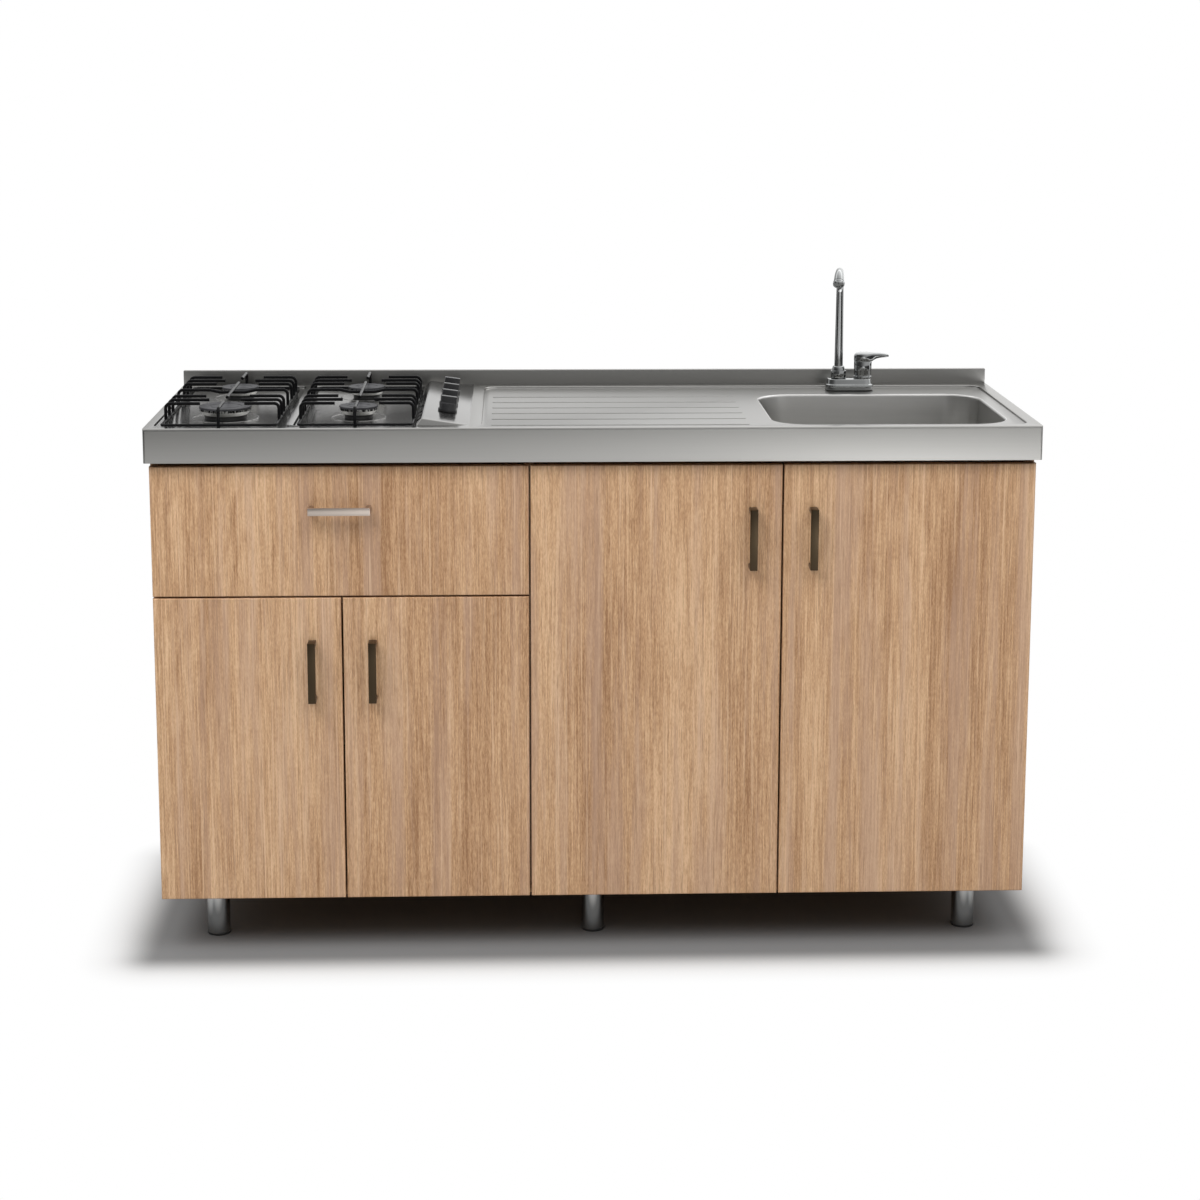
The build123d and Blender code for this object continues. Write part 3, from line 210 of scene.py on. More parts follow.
card_left, card_right = paint.glow(1.16), paint.glow(2.05)
window_light, flag_light = paint.glow(5.0), paint.glow(0.05)
window = paint.step(aside, 1.25, 1.45) * (1 - paint.step(aside, 1.65, 1.85))
cards = paint.fade(paint.step(aside, -2.2, 3.0), card_left, card_right)
flags = paint.largest(
    paint.step(beyond_x, 3.9, 4.5) * (1 - paint.step(deep, 0.5, 1.5)),
    paint.step(beyond_x, 1.0, 1.6) * paint.step(deep, 3.5, 4.5),
    (1 - paint.step(deep, -7.8, -6.2)) * 0.6,
    paint.step(apart, 0.1, 0.5) * paint.step(deep, -3.4, -2.4) * 0.5,
)
mirrored = paint.fade(flags, paint.fade(window, cards, window_light), flag_light)
in_mirror = paint.ray("Glossy") * paint.step(apart, 0.10, 0.9)
paint.end("OutputMaterial", paint.fade(in_mirror, shown, mirrored))

room = Finish(bpy.data.worlds.new("studio_room"))
scene.world = room.owner
seen = room.ray("Camera") + room.ray("Transmission")
in_mirror = room.ray("Glossy")
heading = room.node("TexCoord", {}, {}, "Generated")
sideways, backward, rise = (room.along(heading, axis) for axis in range(3))
behind = room.step(backward, -0.2, 0.6) * (room.step(sideways, -0.2, 0.1) * 0.30 + 0.42)
right_wall = room.step(sideways, -0.7, 0.7) * 0.48
overhead = room.step(rise, 0.25, 0.95) * 0.36
strip = room.step(rise, 0.58, 0.64) * (1 - room.step(rise, 0.74, 0.80)) * 0.7
walls = behind + right_wall + overhead + strip + 0.06
lit = room.step(rise, 0.15, 0.95) * 0.95 + 0.05
strength = seen + (1 - seen) * (in_mirror * walls + (1 - in_mirror) * lit)
room.end("OutputWorld", room.node("Background", {}, {0: (1, 1, 1), 1: strength}))

lamp_width, lamp_aim = 3.0, Vector((0, 0, 0.5))
for name, spot, power in (
    ("lamp_left", Vector((-2.1, -2.9, 4.4)), 152),
    ("lamp_right", Vector((2.2, -2.4, 4.5)), 84),
):
    bpy.ops.object.light_add(type="AREA", location=spot)
    lamp = bpy.context.object
    lamp.name = name
    lamp.data.shape = "SQUARE"
    lamp.data.size = lamp_width
    lamp.data.energy = power
    lamp.visible_glossy = False
    lamp.rotation_euler = (lamp_aim - spot).to_track_quat("-Z", "Y").to_euler()


# Boards and fronts: 15 mm chipboard faced with a warm oak laminate, grain upright on every front
# and panel and lengthwise on rails, shelf and floor. The boards keep the CAD shape.
def oak(name, shift, grain=(2,)):
    """Oak laminate with its grain along Z, or along other axes; the shift picks its piece of the print."""
    wood = Finish(bpy.data.materials.new(name))
    dark, warm, light = (0.31, 0.162, 0.078), (0.515, 0.31, 0.168), (0.70, 0.47, 0.285)
    smoked, cream, pore_brown = (0.49, 0.325, 0.232), (0.74, 0.53, 0.36), (0.30, 0.17, 0.09)

    def print_layer(fine, coarse, detail, rough, aside=(0, 0)):
        """A noise with so many cells to the metre across the grain and along it."""
        scale = [coarse if axis in grain else fine for axis in range(3)]
        return wood.noise(scale, (shift[0] + aside[0], shift[1] + aside[1], shift[2]), detail, rough)

    spot = wood.place(shift=shift)
    side = sum(wood.along(spot, axis) for axis in range(3) if axis not in grain)
    wander = print_layer(3.2, 0.55, 2.0, 0.45) * 1.1 + print_layer(11, 0.9, 2.0, 0.5) * 0.10
    rings = (wood.math("SINE", (side * 0.5 + wander) * 190, 0) * 0.5 + 0.5) ** 3
    figure = rings * wood.step(print_layer(5, 0.7, 1.0, 0.5, (4, 0)), 0.45, 0.68)
    bands = print_layer(8, 0.8, 3.0, 0.6)
    streaks = print_layer(80, 1.6, 4.0, 0.65)
    fibre = print_layer(330, 6, 3.0, 0.65)
    dashes = print_layer(640, 36, 2.0, 0.6)
    flecks = print_layer(780, 150, 1.0, 0.5)
    fine = (fibre - 0.5) * 1.4 + (dashes - 0.5) * 1.1 + (flecks - 0.5) * 0.9
    tone = (bands - 0.5) * 1.5 + (streaks - 0.5) * 1.1 + fine - figure * 0.12 + 0.53
    tint = wood.node("ValToRGB", {"stops": [(0.0, dark), (0.5, warm), (1.0, light)]}, {0: tone})
    smoke = wood.step(print_layer(26, 0.9, 4.0, 0.7, (9, 2)), 0.46, 0.64)
    veins = wood.step(print_layer(300, 2.2, 3.0, 0.6, (6, 0)), 0.56, 0.70)
    pores = wood.step(print_layer(520, 14, 2.0, 0.6, (0, 5)), 0.58, 0.70)
    for amount, colour in ((smoke * 0.55, smoked), (veins * 0.5, cream), (pores * 0.6, pore_brown)):
        tint = wood.blend(amount, tint, colour)
    gloss = wood.between(streaks, 0.42, 0.56)
    relief = wood.bump(fibre * 0.5 + dashes * 0.5, 0.00012, 0.5)
    return wood.cover({"Base Color": tint, "Roughness": gloss, "Normal": relief, "Specular IOR Level": 0.35})


def dress(material, *nodes):
    """Give carried-over CAD parts their finish."""
    for node in nodes:
        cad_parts[node].data.materials.clear()
        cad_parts[node].data.materials.append(material)


for count, front in enumerate(
    ("drawer_front", "door_small_left", "door_small_right", "door_tall_left", "door_tall_right")
):
    dress(oak("oak_" + front, (3.1 * count, 1.7 * count, 0.9 * count)), front)
dress(oak("oak_upright", (21, 4, 2)), "side_panel_left", "side_panel_right", "centre_partition")
dress(oak("oak_lengthwise", (31, 6, 3), (0,)), "base_panel", "top_rails", "drawer_rail", "shelf")
dress(oak("oak_drawer_box", (41, 8, 4), (0, 1)), "drawer_box")


# Back panel and drawer bottom: 3 mm hardboard, smooth and mid-brown with pale fibres pressed in. Both
# keep the CAD shape.
def hardboard():
    """Pressed wood fibre."""
    board = Finish(bpy.data.materials.new("hardboard"))
    fibres = board.noise((420, 420, 420), detail=4.0, rough=0.7)
    clouds = board.noise((6, 6, 6), detail=3.0)
    tint = board.blend(fibres * 0.6 + clouds * 0.4, (0.15, 0.085, 0.042), (0.30, 0.185, 0.10))
    gloss = board.between(fibres, 0.5, 0.75)
    return board.cover({"Base Color": tint, "Roughness": gloss, "Normal": board.bump(fibres, 0.0001, 0.4)})


dress(hardboard(), "back_panel", "drawer_bottom")


# Worktop: one stainless sheet folded down at the front and sides and up at the wall, satin finished
# along its length, with a shallow pressed drainer that has six ribs. The hob lies in its left end.
def satin_steel(name, colour, gloss, along=(2.0, 900, 900)):
    """Brushed metal, its fine lines along X unless told otherwise."""
    steel = Finish(bpy.data.materials.new(name))
    lines = steel.noise(along, detail=3.0, rough=0.7)
    haze = steel.noise((4, 4, 4), detail=3.0)
    low = tuple(0.92 * part for part in colour)
    high = tuple(1.08 * part for part in colour)
    tint = steel.blend(lines * 0.6 + haze * 0.4, low, high)
    rough = steel.between(lines * 0.5 + haze * 0.5, gloss - 0.05, gloss + 0.05)
    relief = steel.bump(lines, 0.00001, 0.4)
    return steel.cover({"Base Color": tint, "Metallic": 1.0, "Roughness": rough, "Normal": relief})


def hold(piece):
    """Select one piece alone and make it the active one."""
    bpy.ops.object.select_all(action="DESELECT")
    piece.select_set(True)
    bpy.context.view_layer.objects.active = piece


def box_piece(name, low, high):
    """A block between two opposite corners, to be shaped."""
    bpy.ops.object.select_all(action="DESELECT")
    middle = [(a + b) / 2 for a, b in zip(low, high)]
    bpy.ops.mesh.primitive_cube_add(size=1, location=middle, scale=[b - a for a, b in zip(low, high)])
    piece = bpy.context.object
    piece.name = name
    bpy.ops.object.transform_apply()
    return piece


def pick(piece, kind, test):
    """Enter edit mode with those vertices, edges or faces selected that pass a test."""
    hold(piece)
    bpy.ops.object.mode_set(mode="EDIT")
    bpy.ops.mesh.select_mode(type=kind)
    bpy.ops.mesh.select_all(action="DESELECT")
    shape = bmesh.from_edit_mesh(piece.data)
    parts = {"VERT": shape.verts, "EDGE": shape.edges, "FACE": shape.faces}[kind]
    for part in [part for part in parts if test(part)]:
        part.select_set(True)
    shape.select_flush_mode()
    bmesh.update_edit_mesh(piece.data)


def put_down():
    """Leave edit mode."""
    bpy.ops.object.mode_set(mode="OBJECT")


def centre(part):
    """The middle of an edge or a face."""
    return sum((corner.co for corner in part.verts), Vector()) / len(part.verts)


def upright_edge(edge):
    """Whether an edge runs along Z."""
    run = edge.verts[0].co - edge.verts[1].co
    return abs(run.z) > 0.99 * run.length


def sharp(edge):
    """Whether two faces meet at an edge at more than one radian."""
    return edge.calc_face_angle(0) > 1


def within(spot, low, high, spare):
    """Whether a place lies inside a rectangle, or that near it."""
    return low.x - spare < spot.x < high.x + spare and low.y - spare < spot.y < high.y + spare


def round_edges(piece, width, segments, test):
    """Round the edges that pass a test."""
    pick(piece, "EDGE", test)
    bpy.ops.mesh.bevel(offset=width, segments=segments, affect="EDGES")
    put_down()


def with_modifier(piece, kind, **settings):
    """Add a modifier and make its result the piece's mesh."""
    hold(piece)
    modifier = piece.modifiers.new(kind.title(), kind)
    for name, setting in settings.items():
        setattr(modifier, name, setting)
    bpy.ops.object.modifier_apply(modifier=modifier.name)


def cut(piece, tool, how="DIFFERENCE"):
    """Cut a piece with a tool, or weld the tool on, and put the tool away."""
    with_modifier(piece, "BOOLEAN", object=tool, operation=how, solver="EXACT")
    bpy.data.objects.remove(tool)


def join(piece, *others):
    """Make several shells one piece."""
    hold(piece)
    for part in others:
        part.select_set(True)
    bpy.ops.object.join()


def copy_of(piece, name, move):
    """A copy of a piece with a mesh of its own, moved to its place."""
    copy = piece.copy()
    copy.data = piece.data.copy()
    scene.collection.objects.link(copy)
    copy.name = name
    copy.data.transform(move)
    return copy


def rounded_box(name, low, high, radius, segments=12):
    """A block with round upright corners."""
    piece = box_piece(name, low, high)
    round_edges(piece, radius, segments, upright_edge)
    return piece


def fit(piece, material, body, slot, *nodes):
    """Smooth a piece, give it its finish, and fasten it to the body that it moves with."""
    hold(piece)
    bpy.ops.object.shade_smooth_by_angle(angle=math.radians(35))
    piece.data.materials.clear()
    piece.data.materials.append(material)
    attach(piece, body)
    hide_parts(*nodes)


# How near two places count as one, how near as side by side, and how far a tool reaches past its cut.
exact, close, reach = 0.00001, 0.001, 0.01
sheet_low, sheet_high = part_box("worktop_sheet")
sheet, edge_radius, fold_return = 0.001, 0.004, 0.006
upstand_depth, upstand_height = 0.008, 0.027
press, press_corner, press_round, fold_round = 0.004, 0.025, 0.0017, 0.0015
deck = sheet_high.z - upstand_height
drain_level = deck - press
hob_end = sheet_low.x + 0.540
drainer_low = Vector((sheet_low.x + 0.560, sheet_low.y + 0.020, drain_level))
drainer_high = Vector((sheet_low.x + 1.480, sheet_low.y + 0.479, deck + reach))
bowl_low = Vector((sheet_low.x + 1.056, sheet_low.y + 0.051))
bowl_size = Vector((0.400, 0.340))
bowl_high = bowl_low + bowl_size
bowl_radius, bowl_lip = 0.060, 0.004

worktop = box_piece("worktop", sheet_low, (sheet_high.x, sheet_high.y, deck))
round_edges(
    worktop,
    edge_radius,
    5,
    lambda edge: centre(edge).y < sheet_low.y + close
    and (upright_edge(edge) or centre(edge).z > deck - close),
)
hollow = box_piece(
    "hollow",
    (sheet_low.x + sheet, sheet_low.y + sheet, sheet_low.z + sheet),
    (sheet_high.x - sheet, sheet_high.y - sheet, deck - press - sheet),
)
round_edges(hollow, edge_radius - sheet, 5, lambda edge: upright_edge(edge) and centre(edge).y < 0)
cut(worktop, hollow)
cut(
    worktop,
    box_piece(
        "return_opening",
        (sheet_low.x + fold_return, sheet_low.y + fold_return, sheet_low.z - reach),
        (sheet_high.x - fold_return, sheet_high.y - fold_return, sheet_low.z + 2 * sheet),
    ),
)
cut(
    worktop,
    box_piece(
        "hob_opening",
        (sheet_low.x + edge_radius, sheet_low.y + edge_radius, sheet_low.z + reach),
        (hob_end, sheet_high.y - upstand_depth, deck + reach),
    ),
)
cut(worktop, rounded_box("drainer_press", drainer_low, drainer_high, press_corner, 14))
cut(
    worktop,
    rounded_box(
        "bowl_opening",
        (bowl_low.x - bowl_lip, bowl_low.y - bowl_lip, deck - 2 * reach),
        (bowl_high.x + bowl_lip, bowl_high.y + bowl_lip, deck + reach),
        bowl_radius + bowl_lip,
        16,
    ),
)
upstand_low = (sheet_low.x, sheet_high.y - upstand_depth, deck - 3 * sheet)
cut(worktop, box_piece("upstand", upstand_low, sheet_high), "UNION")


def drainer_rim(edge):
    """Whether an edge runs round the pressed drainer, at its top or its foot, and not round the bowl."""
    spot = centre(edge)
    run = edge.verts[0].co - edge.verts[1].co
    flat = abs(run.z) < exact and min(abs(spot.z - deck), abs(spot.z - drain_level)) < exact
    round_bowl = within(spot, bowl_low, bowl_high, 2 * bowl_lip)
    return flat and sharp(edge) and within(spot, drainer_low, drainer_high, close) and not round_bowl


round_edges(worktop, press_round, 3, drainer_rim)
round_edges(worktop, fold_round, 3, lambda edge: centre(edge).z > sheet_high.z - 0.0001 and sharp(edge))

rib_start, rib_end, rib_front, rib_width = 0.576, 1.012, 0.050, 0.006
rib_height, rib_round, rib_sunk, rib_pitch, rib_count = 0.0007, 0.0006, 0.0005, 0.0634, 6
rib = rounded_box(
    "rib",
    (sheet_low.x + rib_start, sheet_low.y + rib_front, drain_level - rib_sunk),
    (sheet_low.x + rib_end, sheet_low.y + rib_front + rib_width, drain_level + rib_height),
    rib_width / 2 - exact,
    6,
)
rib_top = drain_level + rib_height - 0.0001
round_edges(rib, rib_round, 3, lambda edge: centre(edge).z > rib_top and sharp(edge))
moves = [Matrix.Translation((0, rib_pitch * count, 0)) for count in range(1, rib_count)]
join(worktop, rib, *[copy_of(rib, "rib", move) for move in moves])
steel_worktop = satin_steel("steel_worktop", (0.40, 0.395, 0.38), 0.30)
fit(worktop, steel_worktop, "root", "steel_satin", "worktop_sheet")
dress(oak("core_board", (51, 9, 5), (0,)), "worktop_core")


# Sink bowl: drawn from steel sheet in one piece and welded under the drainer, with a rolled lip,
# walls that lean in a little, a wide round at the foot and a hole for the waste.
def cylinder_piece(name, radius, low_z, high_z, spot=(0, 0), sides=64):
    """A round block that stands between two levels, to be shaped."""
    bpy.ops.object.select_all(action="DESELECT")
    bpy.ops.mesh.primitive_cylinder_add(
        vertices=sides, radius=radius, depth=high_z - low_z, location=(*spot, (low_z + high_z) / 2)
    )
    piece = bpy.context.object
    piece.name = name
    bpy.ops.object.transform_apply()
    return piece


bowl_depth, bowl_foot, waste_radius = 0.150, 0.024, 0.043
wall_lean, foot_start, wall_rows = math.radians(3), math.radians(3), 4
bowl_middle = bowl_low + bowl_size / 2
bpy.ops.object.select_all(action="DESELECT")
bpy.ops.mesh.primitive_plane_add(size=1, location=(*bowl_middle, drain_level))
bowl = bpy.context.object
bowl.name = "bowl"
bowl.scale = (bowl_size.x + 2 * bowl_lip, bowl_size.y + 2 * bowl_lip, 1)
bpy.ops.object.transform_apply()
pick(bowl, "VERT", lambda corner: True)
bpy.ops.mesh.bevel(offset=bowl_radius + bowl_lip, segments=16, affect="VERTICES")

lip_turns = [math.radians(15 * count) for count in range(7)]
profile = [(bowl_lip * math.sin(turn), bowl_lip * (1 - math.cos(turn))) for turn in lip_turns]
wall_row = (bowl_depth - bowl_lip - bowl_foot) / wall_rows
for count in range(1, wall_rows + 1):
    profile.append((bowl_lip + math.tan(wall_lean) * wall_row * count, bowl_lip + wall_row * count))
foot_inset, foot_depth = profile[-1]
for count in range(1, 9):
    turn = foot_start + (math.radians(90) - foot_start) / 8 * count
    profile.append((foot_inset + bowl_foot * (1 - math.cos(turn)), foot_depth + bowl_foot * math.sin(turn)))
for (inset, depth), (next_inset, next_depth) in zip(profile, profile[1:]):
    bpy.ops.mesh.select_mode(type="FACE")
    bpy.ops.mesh.inset(
        thickness=max(next_inset - inset, exact), depth=depth - next_depth, use_even_offset=True
    )
put_down()
bowl_floor = min(corner.co.z for corner in bowl.data.vertices)
with_modifier(bowl, "SOLIDIFY", thickness=sheet, offset=-1)
cut(bowl, cylinder_piece("waste_hole", waste_radius, bowl_floor - reach, bowl_floor + reach, bowl_middle))
# The bowl is the worktop's satin steel in a lighter colour, a lit copy of it: painted light in the bowl.
steel_bowl_painted_lighter = satin_steel("steel_bowl_painted_lighter", (0.64, 0.635, 0.62), 0.30, (6, 6, 120))
fit(bowl, steel_bowl_painted_lighter, "root", "steel_satin", "sink_bowl")


# Strainer: a polished flange in the waste hole with a lift-out basket, and a nut and bottle trap
# of white plastic below.
def plated(name, colour, gloss, grain=40):
    """Plated or polished metal, with faint smears and wear."""
    metal = Finish(bpy.data.materials.new(name))
    smear = metal.noise((grain, grain, grain), detail=4.0, rough=0.6)
    tint = metal.blend(smear, tuple(0.93 * part for part in colour), colour)
    rough = metal.between(smear, gloss * 0.6, gloss * 1.5)
    relief = metal.bump(smear, 0.00002, 0.3)
    return metal.cover({"Base Color": tint, "Metallic": 1.0, "Roughness": rough, "Normal": relief})


def moulded(name, colour, gloss, grain=900, depth=0.00005, shine=0.5):
    """Plastic, rubber or enamel with a fine skin."""
    skin = Finish(bpy.data.materials.new(name))
    dots = skin.noise((grain, grain, grain), detail=3.0, rough=0.6)
    clouds = skin.noise((20, 20, 20), detail=2.0)
    high = tuple(min(1.1 * part, 1) for part in colour)
    tint = skin.blend(clouds, tuple(0.85 * part for part in colour), high)
    rough = skin.between(dots, gloss - 0.06, gloss + 0.06)
    relief = skin.bump(dots, depth, 0.4)
    return skin.cover({"Base Color": tint, "Roughness": rough, "Normal": relief, "Specular IOR Level": shine})


dress(plated("steel_strainer", (0.60, 0.59, 0.57), 0.14), "strainer_flange", "strainer_basket")
dress(moulded("plastic_white", (0.80, 0.80, 0.77), 0.38), "strainer_nut", "waste_trap")


# Hob plate: a mirror-polished sheet let into the worktop's left end, with two pressed pans for the
# burners and a raised wedge that carries the knobs. A low ring is pressed round each burner.
pan_round, pan_corner = 0.0016, 0.014
pan_low = Vector((sheet_low.x + 0.014, sheet_low.y + 0.029))
pan_high = Vector((sheet_low.x + 0.448, sheet_low.y + 0.495))
hob_plate = box_piece(
    "hob_plate_steel",
    (sheet_low.x + edge_radius, sheet_low.y + edge_radius, deck - press - sheet),
    (hob_end, sheet_high.y - upstand_depth, deck),
)
for pan_left, pan_right in ((pan_low.x, sheet_low.x + 0.229), (sheet_low.x + 0.246, pan_high.x)):
    pan_press = rounded_box(
        "pan_press", (pan_left, pan_low.y, drain_level), (pan_right, pan_high.y, deck + reach), pan_corner, 8
    )
    cut(hob_plate, pan_press)
round_edges(
    hob_plate,
    pan_round,
    3,
    lambda edge: within(centre(edge), pan_low, pan_high, close) and not upright_edge(edge) and sharp(edge),
)

large_burner, small_burner = (0.0445, 0.056), (0.033, 0.046)
burners = [
    ((sheet_low.x + x, sheet_low.y + y), *radii)
    for x, y, radii in (
        (0.1205, 0.146, large_burner),
        (0.348, 0.146, small_burner),
        (0.1205, 0.378, small_burner),
        (0.348, 0.378, small_burner),
    )
]
ring_wire, ring_flatness = 0.0010, 0.5
rings = []
for spot, _, ring_radius in burners:
    bpy.ops.object.select_all(action="DESELECT")
    bpy.ops.mesh.primitive_torus_add(
        major_radius=ring_radius,
        minor_radius=ring_wire,
        major_segments=72,
        minor_segments=10,
        location=(*spot, drain_level),
    )
    ring = bpy.context.object
    ring.scale = (1, 1, ring_flatness)
    bpy.ops.object.transform_apply()
    rings.append(ring)
join(hob_plate, *rings)

wedge_low, wedge_ridge, wedge_high = sheet_low.x + 0.449, sheet_low.x + 0.459, sheet_low.x + 0.538
wedge_rise, wedge_lean, wedge_round = 0.011, 0.009, 0.0035
rounded_above, rounded_turn = deck + 0.004, 0.3
wedge = box_piece(
    "wedge", (wedge_low, pan_low.y, deck - 2 * sheet), (wedge_high, pan_high.y, deck + wedge_rise)
)
for side_test, move in (
    (lambda spot: spot.x < wedge_ridge, (wedge_ridge - wedge_low, 0, 0)),
    (lambda spot: spot.x > wedge_ridge + reach, (0, 0, -wedge_rise)),
    (lambda spot: spot.y < 0, (0, wedge_lean, 0)),
    (lambda spot: spot.y > 0, (0, -wedge_lean, 0)),
):
    pick(wedge, "VERT", lambda corner: corner.co.z > deck + close and side_test(corner.co))
    bpy.ops.transform.translate(value=move)
    put_down()
round_edges(
    wedge,
    wedge_round,
    4,
    lambda edge: centre(edge).z > rounded_above and edge.calc_face_angle(0) > rounded_turn,
)
join(hob_plate, wedge)
steel_hob = satin_steel("steel_hob", (0.34, 0.336, 0.326), 0.17, (2.5, 500, 500))
fit(hob_plate, steel_hob, "root", "steel_polished", "hob_plate")


# Burners: cast aluminium heads with a ring of flame ports under flat grey enamel caps, one large and
# three small, on necks that come up through the pans.
def top_face(height):
    """A test for the flat face at a height that looks up."""
    return lambda face: face.normal.z > 0.9 and abs(centre(face).z - height) < exact


def every_second_side(spot, sides, height):
    """A test for every second side of a round head, counted from its rear, above a height."""

    def test(face):
        out = centre(face) - Vector((*spot, height))
        count = math.floor(math.atan2(out.x, out.y) * sides / (2 * math.pi))
        return out.z > 0 and abs(face.normal.z) < 0.1 and count % 2 == 0

    return test


def extrude_up(height):
    """Extrude the selected faces upwards."""
    bpy.ops.mesh.extrude_region_move(TRANSFORM_OT_translate={"value": (0, 0, height)})


def spread(x_size, y_size, middle):
    """Make what is selected wider or narrower about a point, at its own height."""
    bpy.ops.transform.resize(value=(x_size, y_size, 1), center_override=(*middle, 0))


def inset_rows(*rows):
    """Inset the selected face again and again, each time by a width and up or down by a depth."""
    for width, depth in rows:
        bpy.ops.mesh.inset(thickness=width, depth=depth)


cap_top = deck + 0.017
cap_foot = cap_top - 0.004
head_foot = drain_level + 0.006
port_height, port_depth, port_gap = 0.0032, 0.005, 0.0002
port_foot = cap_foot - port_height
neck_in, head_in, foot_in, streak_height = 0.009, 0.001, 0.007, 0.0068
cap_round, cap_edge, cap_lip, cap_mark = 0.0008, (0.0012, -0.0006), 0.0008, 0.003
heads, caps = [], []
for spot, radius, _ in burners:
    neck = cylinder_piece("neck", radius - neck_in, drain_level - sheet, head_foot + sheet, spot)
    head_radius, foot_radius = radius - head_in, radius - foot_in
    sides = round(radius * 1200) * 2
    head = cylinder_piece("head", head_radius, head_foot, port_foot, spot, sides)
    pick(head, "VERT", lambda corner: corner.co.z < head_foot + exact)
    spread(foot_radius / head_radius, foot_radius / head_radius, spot)
    put_down()
    pick(head, "FACE", top_face(port_foot))
    extrude_up(port_height)
    put_down()
    pick(head, "FACE", every_second_side(spot, sides, port_foot))
    bpy.ops.mesh.inset(thickness=port_gap, depth=-port_depth, use_individual=True)
    put_down()
    heads += [neck, head]

    cap = cylinder_piece("cap", radius, cap_foot, cap_top, spot, 96)
    pick(cap, "FACE", top_face(cap_top))
    inset_rows(cap_edge, (radius * 0.34, 0), (cap_lip, -0.0008), (cap_mark, 0), (cap_lip, 0.0006))
    put_down()
    rim = radius * 0.99
    round_edges(
        cap, cap_round, 3, lambda edge: sharp(edge) and (centre(edge).xy - Vector(spot)).length > rim
    )
    caps.append(cap)
join(*heads)
heads[0].name = "burner_heads_cast"
join(*caps)
caps[0].name = "burner_caps_enamel"


def cast_aluminium(foot, port_level):
    """Cast aluminium, darker in streaks over its ports, and painted black below its foot as painted shade
    under the head.
    """
    cast = Finish(bpy.data.materials.new("aluminium_burner"))
    grains = cast.noise((420, 420, 420), detail=3.0, rough=0.6)
    height = cast.along(cast.place(), 2)
    # Below the head's foot, down the neck, the colour is black and not metal: painted shade under the head.
    above_painted_foot_shade = cast.step(height, foot + 0.0002, foot + 0.0014)
    streaked = cast.step(cast.noise((330, 330, 60), detail=1.0), 0.47, 0.53)
    port_streaks = streaked * cast.step(height, port_level, port_level + 0.001)
    bare = cast.blend(grains, (0.78, 0.78, 0.76), (0.98, 0.98, 0.96))
    tint = cast.blend(above_painted_foot_shade, (0.02, 0.02, 0.02), cast.blend(port_streaks, bare, (0.03, 0.03, 0.03)))
    rough = cast.between(grains, 0.28, 0.46)
    relief = cast.bump(grains, 0.0002, 0.5)
    return cast.cover({"Base Color": tint, "Metallic": above_painted_foot_shade, "Roughness": rough, "Normal": relief})


fit(heads[0], cast_aluminium(head_foot, head_foot + streak_height), "root", "aluminium", "burner_heads")
enamel_grey = moulded("enamel_grey", (0.062, 0.062, 0.066), 0.40, 260, 0.0002, 0.06)
fit(caps[0], enamel_grey, "root", "grey_enamel", "burner_caps")
dress(plated("aluminium_pipes", (0.60, 0.60, 0.60), 0.30, 90), "injector_cups", "gas_pipes")


# Grates: steel wire bent and welded, glossy black enamel fired on. There is one over each pan, which
# lifts off, and both keep the CAD shape.
def black_enamel():
    """Glossy black enamel, with the slight ripple of a fired coat."""
    coat = Finish(bpy.data.materials.new("enamel_black"))
    ripple = coat.noise((160, 160, 160), detail=2.0)
    tint = coat.blend(ripple, (0.003, 0.003, 0.0035), (0.007, 0.007, 0.0075))
    rough = coat.between(ripple, 0.18, 0.32)
    relief = coat.bump(ripple, 0.0002, 0.3)
    return coat.cover({"Base Color": tint, "Roughness": rough, "Normal": relief, "Specular IOR Level": 0.10})


dress(black_enamel(), "grate_left", "grate_right")


# Knobs: moulded black plastic, a skirt and a grip bar, pushed onto the valve stems. One is modelled
# upright at the origin, and its copies are set on the wedge's slope.
def soften(piece, width, segments, angle):
    """Round every edge of a piece that is sharper than an angle."""
    limit = math.radians(angle)
    with_modifier(piece, "BEVEL", width=width, segments=segments, limit_method="ANGLE", angle_limit=limit)


knob_radius, knob_skirt, skirt_height, knob_height, knob_taper = 0.015, 0.0165, 0.004, 0.026, 0.92
grip_width, grip_reach, grip_round = 0.012, 0.03, 0.003
knob_pitch, knob_middle, knob_gap = 0.076, 0.262, 0.0005
slope = math.atan2(wedge_rise, wedge_high - wedge_ridge)
knob_x = sheet_low.x + 0.500
seat_z = deck + wedge_rise * (wedge_high - knob_x) / (wedge_high - wedge_ridge)
knob = cylinder_piece("knob", knob_skirt, 0, skirt_height)
pick(knob, "FACE", top_face(skirt_height))
bpy.ops.mesh.inset(thickness=knob_skirt - knob_radius)
extrude_up(knob_height - skirt_height)
spread(knob_taper, knob_taper, (0, 0))
put_down()
for side in (-1, 1):
    near, far = sorted((side * grip_width / 2, side * grip_reach))
    side_cut = box_piece(
        "side_cut", (-grip_reach, near, knob_height / 2), (grip_reach, far, knob_height + reach)
    )
    round_edges(
        side_cut,
        grip_round,
        4,
        lambda edge: abs(abs(centre(edge).y) - grip_width / 2) < exact and centre(edge).z < knob_height * 0.6,
    )
    cut(knob, side_cut)
soften(knob, 0.0006, 2, 35)
black_plastic = moulded("plastic_black", (0.018, 0.018, 0.019), 0.26, 700, 0.00003)
for count, body in enumerate(("knob_front", "knob_mid_front", "knob_mid_rear", "knob_rear")):
    knob_y = sheet_low.y + knob_middle + knob_pitch * (count - 1.5)
    seat = Matrix.Translation((knob_x, knob_y, seat_z)) @ Matrix.Rotation(slope, 4, "Y")
    copy = copy_of(knob, body + "_turned", seat @ Matrix.Translation((0, 0, knob_gap)))
    fit(copy, black_plastic, body, "black_plastic", f"knob_{count + 1}")
bpy.data.objects.remove(knob)


